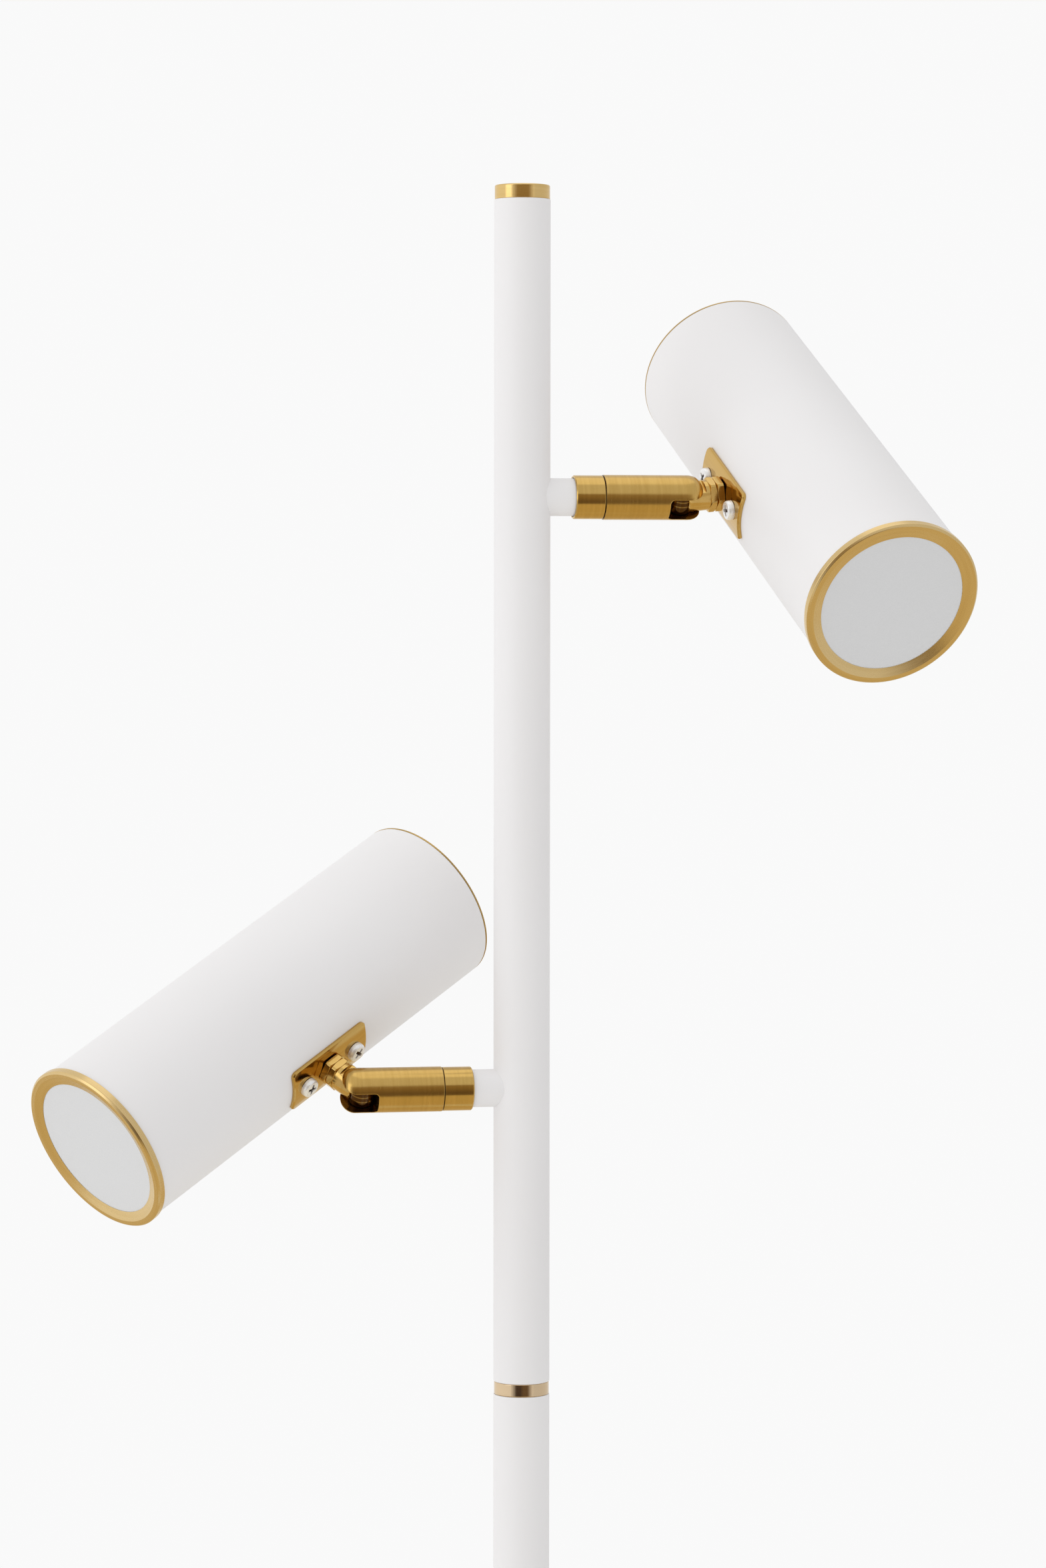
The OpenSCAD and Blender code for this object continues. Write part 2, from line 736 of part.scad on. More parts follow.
module front_ring(i) color(satin_brass) {
    outer_r = front_ring_d / 2;
    head_frame(i) rotate_extrude() polygon([
        [outer_r, ring_back], [outer_r, head_front - ring_bevel],
        [outer_r - ring_bevel, head_front], [window_r + window_bevel, head_front],
        [window_r, head_front - window_bevel], [window_r, head_front - lip_t],
        [seat_r, head_front - lip_t], [seat_r, ring_back - sleeve_l],
        [sleeve_r, ring_back - sleeve_l], [sleeve_r, ring_back]
    ]);
}

module diffuser(i) color(opal) {
    head_frame(i) translate([0, 0, diffuser_front - diffuser_t])
        cylinder(r = diffuser_r, h = diffuser_t);
}

// A cone from the board's chip to the back of the diffuser, with a rim at its front
module mixing_cup(i) color(opal) {
    head_frame(i) rotate_extrude() polygon([
        [cup_mouth_r, cup_front], [diffuser_r, cup_front],
        [diffuser_r, cup_front - cup_rim_t], [cup_mouth_r + cup_wall, cup_front - cup_rim_t],
        [cup_throat_r + cup_wall, board_front + fit], [cup_throat_r, board_front + fit]
    ]);
}

module led_board(i) color(opal) {
    head_frame(i) {
        translate([0, 0, board_front - board_t]) cylinder(r = board_r, h = board_t);
        translate([0, 0, board_front]) cylinder(r = chip_r, h = chip_t);
    }
}

module heat_sink(i) color(bright_aluminium) {
    head_frame(i) {
        translate([0, 0, sink_front - sink_plate_t]) cylinder(r = inner_r, h = sink_plate_t);
        translate([0, 0, sink_front - sink_l]) cylinder(r = sink_core_r, h = sink_l);
        intersection() {
            translate([0, 0, sink_front - sink_l]) cylinder(r = inner_r, h = sink_l);
            for (k = [0:sink_fins - 1]) rotate([0, 0, k * 360 / sink_fins])
                translate([sink_core_r - over, -fin_t / 2, sink_front - sink_l])
                    cube([inner_r, fin_t, sink_l]);
        }
    }
}

module driver(i) color(white_paint) {
    head_frame(i) {
        translate([0, 0, driver_back]) cylinder(r = inner_r, h = driver_l);
        translate([-lug_size[0] / 2, -lug_size[1] / 2, driver_back + driver_l])
            cube(lug_size);
    }
}

module rear_cap(i) color(satin_brass) {
    head_frame(i) difference() {
        union() {
            translate([0, 0, -head_rear]) cylinder(d = head_d, h = rear_edge_t);
            translate([0, 0, -head_rear]) cylinder(r = sleeve_r, h = rear_edge_t + sleeve_l);
        }
        translate([0, 0, rear_disc_t - head_rear])
            cylinder(r = sleeve_r - rear_rim_t, h = sleeve_l + rear_edge_t);
    }
}

// ---- the two arms and heads, piece by piece ----

module upper_stub() stub(UPPER);
module upper_collar() collar(UPPER);
module upper_saddle_washer() saddle_washer(UPPER);
module upper_barrel() barrel(UPPER, 1);
module upper_spindle() spindle(UPPER);
module upper_spindle_nut() spindle_nut(UPPER);
module upper_pivot_screw() pivot_screw(UPPER, 1);
module upper_tongue() tongue(UPPER);
module upper_lock_nut() lock_nut(UPPER);
module upper_saddle() saddle(UPPER);
module upper_saddle_screws() saddle_screws(UPPER);
module upper_stud_nut() stud_nut(UPPER);
module upper_head_tube() head_tube(UPPER);
module upper_front_ring() front_ring(UPPER);
module upper_diffuser() diffuser(UPPER);
module upper_mixing_cup() mixing_cup(UPPER);
module upper_led_board() led_board(UPPER);
module upper_heat_sink() heat_sink(UPPER);
module upper_driver() driver(UPPER);
module upper_rear_cap() rear_cap(UPPER);

module lower_stub() stub(LOWER);
module lower_collar() collar(LOWER);
module lower_saddle_washer() saddle_washer(LOWER);
module lower_barrel() barrel(LOWER, -1);
module lower_spindle() spindle(LOWER);
module lower_spindle_nut() spindle_nut(LOWER);
module lower_pivot_screw() pivot_screw(LOWER, -1);
module lower_tongue() tongue(LOWER);
module lower_lock_nut() lock_nut(LOWER);
module lower_saddle() saddle(LOWER);
module lower_saddle_screws() saddle_screws(LOWER);
module lower_stud_nut() stud_nut(LOWER);
module lower_head_tube() head_tube(LOWER);
module lower_front_ring() front_ring(LOWER);
module lower_diffuser() diffuser(LOWER);
module lower_mixing_cup() mixing_cup(LOWER);
module lower_led_board() led_board(LOWER);
module lower_heat_sink() heat_sink(LOWER);
module lower_driver() driver(LOWER);
module lower_rear_cap() rear_cap(LOWER);

base_cover();
base_weight();
base_pad();
base_washer();
base_nut();
base_rod();
cable_inlet();
terminal_block();
internal_lead();
lead_splice();
foot_ring();
foot_plug();
pole_lower();
lower_joint_ring();
lower_coupler();
pole_middle();
upper_joint_ring();
upper_coupler();
pole_upper();
top_cap();
upper_stub();
upper_collar();
upper_saddle_washer();
upper_barrel();
upper_spindle();
upper_spindle_nut();
upper_pivot_screw();
upper_tongue();
upper_lock_nut();
upper_saddle();
upper_saddle_screws();
upper_stud_nut();
upper_head_tube();
upper_front_ring();
upper_diffuser();
upper_mixing_cup();
upper_led_board();
upper_heat_sink();
upper_driver();
upper_rear_cap();
lower_stub();
lower_collar();
lower_saddle_washer();
lower_barrel();
lower_spindle();
lower_spindle_nut();
lower_pivot_screw();
lower_tongue();
lower_lock_nut();
lower_saddle();
lower_saddle_screws();
lower_stud_nut();
lower_head_tube();
lower_front_ring();
lower_diffuser();
lower_mixing_cup();
lower_led_board();
lower_heat_sink();
lower_driver();
lower_rear_cap();
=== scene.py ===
import json
import math

import bmesh
import bpy
import numpy as np
from mathutils import Euler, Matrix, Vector

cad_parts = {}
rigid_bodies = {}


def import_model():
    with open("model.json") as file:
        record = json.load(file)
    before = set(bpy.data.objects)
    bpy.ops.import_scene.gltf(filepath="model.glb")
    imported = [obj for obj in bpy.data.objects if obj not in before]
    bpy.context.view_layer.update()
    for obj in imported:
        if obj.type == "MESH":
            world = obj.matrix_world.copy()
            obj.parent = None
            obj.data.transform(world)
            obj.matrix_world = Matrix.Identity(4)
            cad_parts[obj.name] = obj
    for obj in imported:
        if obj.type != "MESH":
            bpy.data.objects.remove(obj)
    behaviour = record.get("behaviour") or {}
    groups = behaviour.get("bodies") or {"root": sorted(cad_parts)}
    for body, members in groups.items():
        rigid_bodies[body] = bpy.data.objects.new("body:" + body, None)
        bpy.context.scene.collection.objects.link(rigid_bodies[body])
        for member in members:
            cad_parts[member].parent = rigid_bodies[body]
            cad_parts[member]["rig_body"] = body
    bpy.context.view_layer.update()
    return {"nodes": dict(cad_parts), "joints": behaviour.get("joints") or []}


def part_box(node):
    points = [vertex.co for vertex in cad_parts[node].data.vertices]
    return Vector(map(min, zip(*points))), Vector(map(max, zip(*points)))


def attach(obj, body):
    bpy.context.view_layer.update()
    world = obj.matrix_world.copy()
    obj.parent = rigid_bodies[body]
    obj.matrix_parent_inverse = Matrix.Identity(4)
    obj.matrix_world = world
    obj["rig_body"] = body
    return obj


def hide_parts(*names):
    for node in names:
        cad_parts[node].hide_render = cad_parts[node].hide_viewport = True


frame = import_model()
joints = {joint["name"]: joint for joint in frame["joints"]}
mm = 0.001
nearEnd = 1 * mm  # how near its end a piece's girth is taken
slight = 0.2 * mm  # radius of edges that hardly show
print("frame loaded:", len(frame["nodes"]), "nodes")


# Places and sizes read from the frame

def unit(v):
    v = np.asarray(v, float)
    return v / np.linalg.norm(v, axis=-1, keepdims=True)


# A local frame as (origin, three unit columns): x as given, y squared up to it, z = x cross y
def placeAt(origin, xDir, yDir):
    x = unit(xDir)
    y = unit(np.asarray(yDir, float) - x * np.dot(x, yDir))
    return np.asarray(origin, float), np.stack([x, y, np.cross(x, y)], 1)


def corners(node):
    mesh = frame["nodes"][node].data
    flat = np.empty(3 * len(mesh.vertices), np.float32)
    mesh.vertices.foreach_get("co", flat)
    return flat.reshape(-1, 3).astype(float)


def seenFrom(place, points):
    origin, axes = place
    return (points - origin) @ axes


# Least and greatest local coordinates of a CAD node
def reach(node, place):
    local = seenFrom(place, corners(node))
    return local.min(0), local.max(0)


# Least and greatest distance of a CAD node's corners from a place's X axis, between two stations
def girth(node, place, low=-math.inf, high=math.inf):
    local = seenFrom(place, corners(node))
    local = local[(local[:, 0] >= low) & (local[:, 0] <= high)]
    distance = np.hypot(local[:, 1], local[:, 2])
    return distance.min(), distance.max()


def middle(node):
    low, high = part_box(node)
    return (np.array(low) + np.array(high)) / 2


upright = placeAt((0, 0, 0), (0, 0, 1), (1, 0, 0))

# Places of each arm: swivel (X out along the arm, Z the pivot's axis), tilt (X along the tongue, Z the
# pivot's axis), bracket (X along the tongue, Y the light's direction) and head (X the light's direction,
# Y away from the pivot). axisAway is how far the head's axis lies from the pivot.
arms = {}
for side in ("upper", "lower"):
    pivot = np.array(joints[side + "_head_tilt"]["pos_m"], float)
    pin = -unit(joints[side + "_head_tilt"]["axis"])
    out = np.array([math.copysign(1, pivot[0]), 0, 0])
    rear, front = middle(side + "_head_tube"), middle(side + "_diffuser")
    light = unit(front - rear)
    foot = rear + light * np.dot(pivot - rear, light)
    stem = unit(foot - pivot)
    arms[side] = {
        "pivot": pivot,
        "swivel": placeAt((0, 0, pivot[2]), out, np.cross(pin, out)),
        "tilt": placeAt(pivot, stem, np.cross(pin, stem)),
        "bracket": placeAt(pivot, stem, light),
        "head": placeAt(foot, light, stem),
        "axisAway": float(np.linalg.norm(foot - pivot)),
    }


# Surfaces worked out as whole grids

# Grid of points from three arrays that broadcast together
def gridOf(x, y, z):
    return np.stack(np.broadcast_arrays(x, y, z), -1)


# Points about the X axis: (along, radius, t) goes to (along, radius cos t, radius sin t)
def aboutX(along, radius, t):
    return gridOf(along, radius * np.cos(t), radius * np.sin(t))


# Quads between the neighbours of a grid of rows by cols points, numbered from start
def quads(rows, cols, start, wrapRows, wrapCols):
    r = np.arange(rows if wrapRows else rows - 1)[:, None]
    c = np.arange(cols if wrapCols else cols - 1)[None, :]
    nextR, nextC = (r + 1) % rows, (c + 1) % cols
    ring = [r * cols + c, r * cols + nextC, nextR * cols + nextC, nextR * cols + c]
    return np.stack(ring, -1).reshape(-1, 4) + start


welding = {"gap": 2e-6, "sliver": 1e-7}


# One closed mesh from patches (grid, wrapRows, wrapCols, brush, painted shade), given in the place's own
# coordinates: shared edges are merged and faces turned outwards. Attribute "brush" keeps, in
# metres, (distance along the work, distance across it, 0), and the painted shade attribute how far
# painted shade darkens the metal there, from 0 to 1. The brushed finishes read both. Edges over
# crease degrees stay sharp.
def meshOf(name, patches, place, material, crease=32):
    origin, axes = place
    points, brushes, paintedShades, faces, start = [], [], [], [], 0
    for patch in patches:
        grid = patch["grid"]
        rows, cols = grid.shape[:2]
        faces.append(quads(rows, cols, start, patch.get("wrapRows", False), patch.get("wrapCols", False)))
        start += rows * cols
        points.append(grid.reshape(-1, 3))
        brush = patch.get("brush")
        if brush is None:
            brush = gridOf(grid[..., 0], np.hypot(grid[..., 1], grid[..., 2]), 0)
        brushes.append(brush.reshape(-1, 3))
        paintedShades.append((np.zeros(grid.shape[:2]) + patch.get("stain", 0.0)).ravel())
    points = np.concatenate(points) @ axes.T + origin
    mesh = bpy.data.meshes.new(name)
    mesh.from_pydata(points.tolist(), [], np.concatenate(faces).tolist())
    layer = mesh.attributes.new("brush", "FLOAT_VECTOR", "POINT")
    layer.data.foreach_set("vector", np.concatenate(brushes).astype(np.float32).ravel())
    layer = mesh.attributes.new("stain", "FLOAT", "POINT")
    layer.data.foreach_set("value", np.concatenate(paintedShades).astype(np.float32))
    tidyMesh = bmesh.new()
    tidyMesh.from_mesh(mesh)
    bmesh.ops.remove_doubles(tidyMesh, verts=tidyMesh.verts, dist=welding["gap"])
    bmesh.ops.dissolve_degenerate(tidyMesh, edges=tidyMesh.edges, dist=welding["sliver"])
    bmesh.ops.recalc_face_normals(tidyMesh, faces=tidyMesh.faces)
    tidyMesh.to_mesh(mesh)
    tidyMesh.free()
    mesh.shade_smooth()
    mesh.set_sharp_from_angle(angle=math.radians(crease))
    mesh.materials.append(material)
    return mesh


def linked(name, data):
    item = bpy.data.objects.new(name, data)
    bpy.context.scene.collection.objects.link(item)
    return item


# A finished piece that stands in for a CAD node, less what a cutter mesh takes away
def solid(name, patches, place, material, node, crease=32, cutter=None):
    piece = linked(name, meshOf(name, patches, place, material, crease))
    if cutter is not None:
        tool = linked("cutter", cutter)
        cut = piece.modifiers.new("cut", "BOOLEAN")
        cut.operation, cut.solver, cut.object = "DIFFERENCE", "EXACT", tool
        evaluated = piece.evaluated_get(bpy.context.evaluated_depsgraph_get())
        shape = bpy.data.meshes.new_from_object(evaluated)
        piece.modifiers.clear()
        piece.data = shape
        shape.name = name
        shape.set_sharp_from_angle(angle=math.radians(crease))
        bpy.data.objects.remove(tool)
    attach(piece, frame["nodes"][node]["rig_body"])
    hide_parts(node)


# The most of its shorter side that an arc takes, and how far from the arc's ends the spare points
# may lie, as a share of the arc's own touch length and of that most
arcs = {"most": 0.46, "spare": 0.35, "spareMost": 1.06}


# Outline through corners (u, v, radius): each corner becomes the arc that touches both its sides,
# with a spare point just before and after it so that flats stay flat when shaded smooth
def softened(points, closed=False, steps=6):
    points = [np.array(p, float) for p in points]
    count = len(points)
    result = []
    for i in range(count):
        here, radius = points[i][:2], points[i][2]
        if radius == 0 or (not closed and i in (0, count - 1)):
            result.append(here[None])
            continue
        before, after = points[i - 1][:2] - here, points[(i + 1) % count][:2] - here
        room = min(np.linalg.norm(before), np.linalg.norm(after)) * arcs["most"]
        a, b = unit(before), unit(after)
        half = math.acos(np.clip(np.dot(a, b), -1, 1)) / 2
        touch = min(radius / math.tan(half), room)
        radius = touch * math.tan(half)
        hub = here + unit(a + b) * radius / math.sin(half)
        turn = math.pi - 2 * half
        t = np.linspace(0, 1, steps + 1)[:, None]
        fromA, toB = here + a * touch - hub, here + b * touch - hub
        arc = hub + (np.sin((1 - t) * turn) * fromA + np.sin(t * turn) * toB) / math.sin(turn)
        spare = min(arcs["spare"] * touch, room * arcs["spareMost"] - touch)
        if spare > 0:
            arc = np.concatenate([[here + a * (touch + spare)], arc, [here + b * (touch + spare)]])
        result.append(arc)
    return np.concatenate(result)


# Angles of so many steps round a full turn
def fullTurn(count):
    return np.linspace(0, 2 * math.pi, count, endpoint=False)


# Outline of a plain ring from start to end or, with no bore, of a disc
def ringOutline(start, end, bore, radius, edge, boreEdge=0):
    return [(start, bore, boreEdge), (start, radius, edge), (end, radius, edge), (end, bore, boreEdge)]


# Turned work: the outline's points (along, radius) go round the X axis
def turned(outline, angles, hollow=False):
    return {"grid": aboutX(outline[:, :1], outline[:, 1:], angles), "wrapCols": True, "wrapRows": hollow}


# A turned piece through outline corners (along, radius, edge radius); a hollow one is a closed section
def turnedPiece(name, outline, around, place, material, node, hollow=False, steps=6):
    solid(name, [turned(softened(outline, hollow, steps), fullTurn(around), hollow)], place, material, node)


# Finishes

slotOf = {name: node.data.materials[0].name.split(".")[0] for name, node in frame["nodes"].items()}


class Finish:
    # A node material with a Principled shader; add() makes a node and sets its fields and sockets
    def __init__(self, name):
        self.material = bpy.data.materials.new(name)
        self.material.use_nodes = True
        self.tree = self.material.node_tree
        self.shader = self.tree.nodes["Principled BSDF"]
        self.where = self.add("ShaderNodeTexCoord").outputs["Object"]

    def add(self, kind, fields=None, **sockets):
        node = self.tree.nodes.new(kind)
        for key, value in (fields or {}).items():
            setattr(node, key, value)
        for key, value in sockets.items():
            self.feed(node.inputs[key.replace("_", " ")], value)
        return node

    def feed(self, socket, value):
        if isinstance(value, bpy.types.NodeSocket):
            self.tree.links.new(value, socket)
        else:
            socket.default_value = value

    def scaled(self, vector, scale):
        return self.add("ShaderNodeMapping", Vector=vector, Scale=scale).outputs["Vector"]

    def noise(self, vector, scale, detail=2.0, rough=0.5):
        return self.add("ShaderNodeTexNoise", Vector=vector, Scale=scale, Detail=detail,
                        Roughness=rough).outputs["Fac"]

    # value stretched from (low, high) to (toLow, toHigh)
    def ranged(self, value, low, high, toLow=0, toHigh=1):
        return self.add("ShaderNodeMapRange", Value=value, From_Min=low, From_Max=high, To_Min=toLow,
                        To_Max=toHigh).outputs["Result"]

    # noise keeps near 0.5, so its span within reach of that is what goes to (toLow, toHigh)
    def spread(self, noise, toLow=0, toHigh=1, reach=0.2):
        return self.ranged(noise, 0.5 - reach, 0.5 + reach, toLow, toHigh)

    # colour between two colours (inputs 6 and 7, output 2) by a value; either may be a node's colour
    def between(self, value, first, second):
        node = self.add("ShaderNodeMix", {"data_type": "RGBA"})
        self.feed(node.inputs["Factor"], value)
        for socket, colour in ((node.inputs[6], first), (node.inputs[7], second)):
            self.feed(socket, (*colour, 1) if isinstance(colour, tuple) else colour)
        return node.outputs[2]

    def bump(self, height, strength, distance, below=None):
        node = self.add("ShaderNodeBump", Height=height, Strength=strength, Distance=distance)
        if below is not None:
            self.feed(node.inputs["Normal"], below)
        return node.outputs["Normal"]

    def set(self, **sockets):
        for key, value in sockets.items():
            self.feed(self.shader.inputs[key.replace("_", " ")], value)
        return self.material


coat = {"drift": 9.0, "driftReach": 0.15, "peel": 1400.0, "roughSpan": 0.05, "gloss": 0.35,
        "bump": 0.12, "height": 0.06 * mm}


# Matt powder coat: faint orange peel and a slow drift in tone
def powderCoat(name, colour, shade, roughness):
    f = Finish(name)
    drift = f.noise(f.where, coat["drift"], detail=3.0)
    peel = f.noise(f.where, coat["peel"], rough=0.6)
    return f.set(
        Base_Color=f.between(f.spread(drift, reach=coat["driftReach"]), colour, shade),
        Roughness=f.spread(peel, roughness - coat["roughSpan"], roughness + coat["roughSpan"]),
        Specular_IOR_Level=coat["gloss"],
        Normal=f.bump(peel, coat["bump"], coat["height"]),
    )


# The last entry is the dark brown of painted shade, which brushed metal is darkened towards by its painted
# shade attribute
streaks = {"broadScale": 0.21, "fineReach": 0.25, "rougher": 1.3, "smoother": 0.75, "height": 0.04 * mm,
           "cloud": 160.0, "cloudShare": 0.3, "cloudHeight": 0.2 * mm, "tarnish": (0.06, 0.022, 0.007)}


# Brushed metal: streaks run along the "brush" attribute's first value, grain of them to the metre
# across it, and each is broken every streakLength metres. depth is how strongly they show as bumps.
# The painted shade attribute darkens the colour towards the dark brown painted shade colour.
def brushedMetal(name, colour, shade, roughness, grain, depth, streakLength, metallic=1.0):
    f = Finish(name)
    brush = f.add("ShaderNodeAttribute", {"attribute_name": "brush"}).outputs["Vector"]
    across = f.scaled(brush, (grain, grain, 1.0))
    along = f.scaled(f.where, (1 / streakLength,) * 3)
    both = f.add("ShaderNodeVectorMath", {"operation": "ADD"})
    f.feed(both.inputs[0], across)
    f.feed(both.inputs[1], along)
    fine = f.noise(both.outputs["Vector"], 1.0, detail=3.0, rough=0.65)
    broad = f.noise(both.outputs["Vector"], streaks["broadScale"])
    cloud = f.noise(f.where, streaks["cloud"])
    stain = f.add("ShaderNodeAttribute", {"attribute_name": "stain"}).outputs["Fac"]
    beforePaintedShade = f.between(f.spread(broad), colour, shade)
    dents = f.bump(cloud, streaks["cloudShare"] * depth, streaks["cloudHeight"])
    return f.set(
        # base colour: painted shade and painted dark reflection, taken from the mesh's painted shade
        # attribute
        Base_Color=f.between(stain, beforePaintedShade, streaks["tarnish"]),
        Metallic=metallic,
        Roughness=f.spread(fine, roughness * streaks["smoother"], roughness * streaks["rougher"],
                           streaks["fineReach"]),
        Normal=f.bump(fine, depth, streaks["height"], dents),
    )


cloudy = {"height": 0.1 * mm, "smoother": 0.8, "rougher": 1.25, "roughSpan": 0.06}


# Cast or plated metal: a cloud of the given scale in tone, roughness and bump
def plainMetal(name, colour, shade, roughness, scale, depth):
    f = Finish(name)
    cloud = f.noise(f.where, scale, detail=4.0, rough=0.6)
    return f.set(
        Base_Color=f.between(f.spread(cloud), colour, shade),
        Metallic=1.0,
        Roughness=f.spread(cloud, roughness * cloudy["smoother"], roughness * cloudy["rougher"]),
        Normal=f.bump(cloud, depth, cloudy["height"]),
    )


# Moulded plastic or rubber with a fine grain
def moulded(name, colour, shade, roughness, scale, depth):
    f = Finish(name)
    grain = f.noise(f.where, scale, detail=3.0, rough=0.6)
    return f.set(
        Base_Color=f.between(f.spread(grain), colour, shade),
        Roughness=f.spread(grain, roughness - cloudy["roughSpan"], roughness + cloudy["roughSpan"]),
        Normal=f.bump(grain, depth, cloudy["height"]),
    )


circuit = {"scale": 260.0, "line": 0.03, "field": (0.80, 0.82, 0.80), "altField": (0.74, 0.77, 0.74),
           "track": (0.45, 0.55, 0.45), "grain": 900.0, "roughness": (0.4, 0.5)}


# Pale board with greener lines in a fine brick mesh
def circuitBoard(name):
    f = Finish(name)
    tracks = f.add("ShaderNodeTexBrick", Vector=f.where, Scale=circuit["scale"], Mortar_Size=circuit["line"],
                   Color1=(*circuit["field"], 1), Color2=(*circuit["altField"], 1),
                   Mortar=(*circuit["track"], 1))
    return f.set(Base_Color=tracks.outputs["Color"],
                 Roughness=f.spread(f.noise(f.where, circuit["grain"]), *circuit["roughness"]))


# Each finish: two linear colours that it drifts between, roughness, and then for brushed metal its
# grain, depth and streakLength, and for the others their scale and depth
whitePaint = powderCoat("whitePaint", (0.885, 0.872, 0.872), (0.865, 0.85, 0.85), 0.5)
barrelBrass = brushedMetal("barrelBrass", (0.62, 0.405, 0.125), (0.56, 0.355, 0.10), 0.22, 5200, 0.20, 0.0030)
collarBrass = brushedMetal("collarBrass", (0.64, 0.42, 0.13), (0.58, 0.375, 0.11), 0.17, 5200, 0.10, 0.0030)
ringBrass = brushedMetal("ringBrass", (0.73, 0.54, 0.26), (0.68, 0.49, 0.22), 0.25, 4200, 0.16, 0.0060)
rearBrass = brushedMetal("rearBrass", (0.52, 0.355, 0.135), (0.46, 0.305, 0.11), 0.28, 4200, 0.16, 0.0060)
brightBrass = brushedMetal("brightBrass", (0.66, 0.43, 0.14), (0.60, 0.385, 0.115), 0.13, 3000, 0.06, 0.0080)
capBrass = brushedMetal("capBrass", (0.75, 0.53, 0.22), (0.70, 0.48, 0.185), 0.16, 4200, 0.10, 0.0040)
champagne = brushedMetal("champagne", (0.72, 0.55, 0.355), (0.66, 0.50, 0.315), 0.11, 3000, 0.05, 0.0060)
saddleBrass = brushedMetal("saddleBrass", (0.62, 0.40, 0.12), (0.56, 0.35, 0.10), 0.10, 3000, 0.05, 0.0080)
screwSteel = brushedMetal("screwSteel", (0.95, 0.95, 0.95), (0.92, 0.92, 0.92), 0.30, 2600, 0.03, 0.0020, 0.5)
zincSteel = plainMetal("zincSteel", (0.66, 0.67, 0.69), (0.55, 0.56, 0.58), 0.34, 420.0, 0.10)
castIron = plainMetal("castIron", (0.12, 0.12, 0.12), (0.08, 0.08, 0.08), 0.62, 500.0, 0.5)
aluminium = plainMetal("aluminium", (0.78, 0.79, 0.80), (0.70, 0.71, 0.72), 0.32, 300.0, 0.08)
opal = moulded("opal", (0.725, 0.732, 0.745), (0.70, 0.707, 0.72), 0.6, 1800.0, 0.06)
blackRubber = moulded("blackRubber", (0.030, 0.030, 0.031), (0.020, 0.020, 0.021), 0.55, 900.0, 0.2)
padRubber = moulded("padRubber", (0.045, 0.045, 0.045), (0.025, 0.025, 0.025), 0.8, 1500.0, 0.5)
whitePlastic = moulded("whitePlastic", (0.78, 0.77, 0.74), (0.74, 0.73, 0.70), 0.42, 700.0, 0.06)
leadJacket = moulded("leadJacket", (0.05, 0.05, 0.052), (0.035, 0.035, 0.036), 0.5, 700.0, 0.1)
board = circuitBoard("board")

slotFinish = {
    "white_paint": whitePaint, "satin_brass": barrelBrass, "polished_brass": champagne,
    "zinc_steel": zincSteel, "bright_screw": screwSteel, "cast_iron": castIron,
    "black_pad": padRubber, "black_rubber": blackRubber, "white_plastic": whitePlastic,
    "lead_jacket": leadJacket, "opal": opal, "circuit_board": board, "aluminium": aluminium,
}
for name, node in frame["nodes"].items():
    node.data.materials.clear()
    node.data.materials.append(slotFinish[slotOf[name]])
print("finishes set on", len(frame["nodes"]), "nodes")


# Base

baseCover = {"wall": 1.5 * mm, "shoulder": 3.0 * mm, "hem": 0.4 * mm, "steps": 10, "around": 224}
low, high = reach("base_cover", upright)
rim, hole = high[1], girth("base_cover", upright)[0]
ceiling, inside = high[0] - baseCover["wall"], rim - baseCover["wall"]
turnedPiece("baseCover", [
    (low[0], rim, baseCover["hem"]), (high[0], rim, baseCover["shoulder"]), (high[0], hole, slight),
    (ceiling, hole, slight), (ceiling, inside, baseCover["shoulder"] - baseCover["wall"]),
    (low[0], inside, baseCover["hem"])],
    baseCover["around"], upright, whitePaint, "base_cover", True, baseCover["steps"])

basePad = {"edge": 0.5 * mm, "around": 224}
low, high = reach("base_pad", upright)
turnedPiece("basePad", ringOutline(low[0], high[0], 0, high[1], basePad["edge"]),
            basePad["around"], upright, padRubber, "base_pad")

cableInlet = {"edge": 0.6 * mm, "innerEdge": 0.3 * mm, "around": 96}
low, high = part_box("cable_inlet")
inletPlace = placeAt((0, 0, (low[2] + high[2]) / 2), (0, 1, 0), (0, 0, 1))
low, high = reach("cable_inlet", inletPlace)
bore, flange = girth("cable_inlet", inletPlace)
shank = girth("cable_inlet", inletPlace, high=low[0] + nearEnd)[1]
flangeBack = reach("base_cover", inletPlace)[1][0]
turnedPiece("cableInlet", [
    (low[0], bore, cableInlet["innerEdge"]), (low[0], shank, cableInlet["innerEdge"]), (flangeBack, shank, 0),
    (flangeBack, flange, slight), (high[0], flange, cableInlet["edge"]), (high[0], bore, cableInlet["edge"])],
    cableInlet["around"], inletPlace, blackRubber, "cable_inlet", True)


# Pole

poleTube = {"rim": 0.3 * mm, "around": 160}
for node in ("pole_lower", "pole_middle", "pole_upper"):
    low, high = reach(node, upright)
    bore = girth(node, upright)[0]
    turnedPiece(node.replace("pole_", "poleTube_"),
                ringOutline(low[0], high[0], bore, high[1], poleTube["rim"], slight),
                poleTube["around"], upright, whitePaint, node, True)

jointRing = {"edge": 0.35 * mm, "around": 160}
for node in ("foot_ring", "lower_joint_ring", "upper_joint_ring"):
    low, high = reach(node, upright)
    bore = girth(node, upright)[0]
    turnedPiece(node.replace("_", ""), ringOutline(low[0], high[0], bore, high[1], jointRing["edge"]),
                jointRing["around"], upright, champagne, node, True)

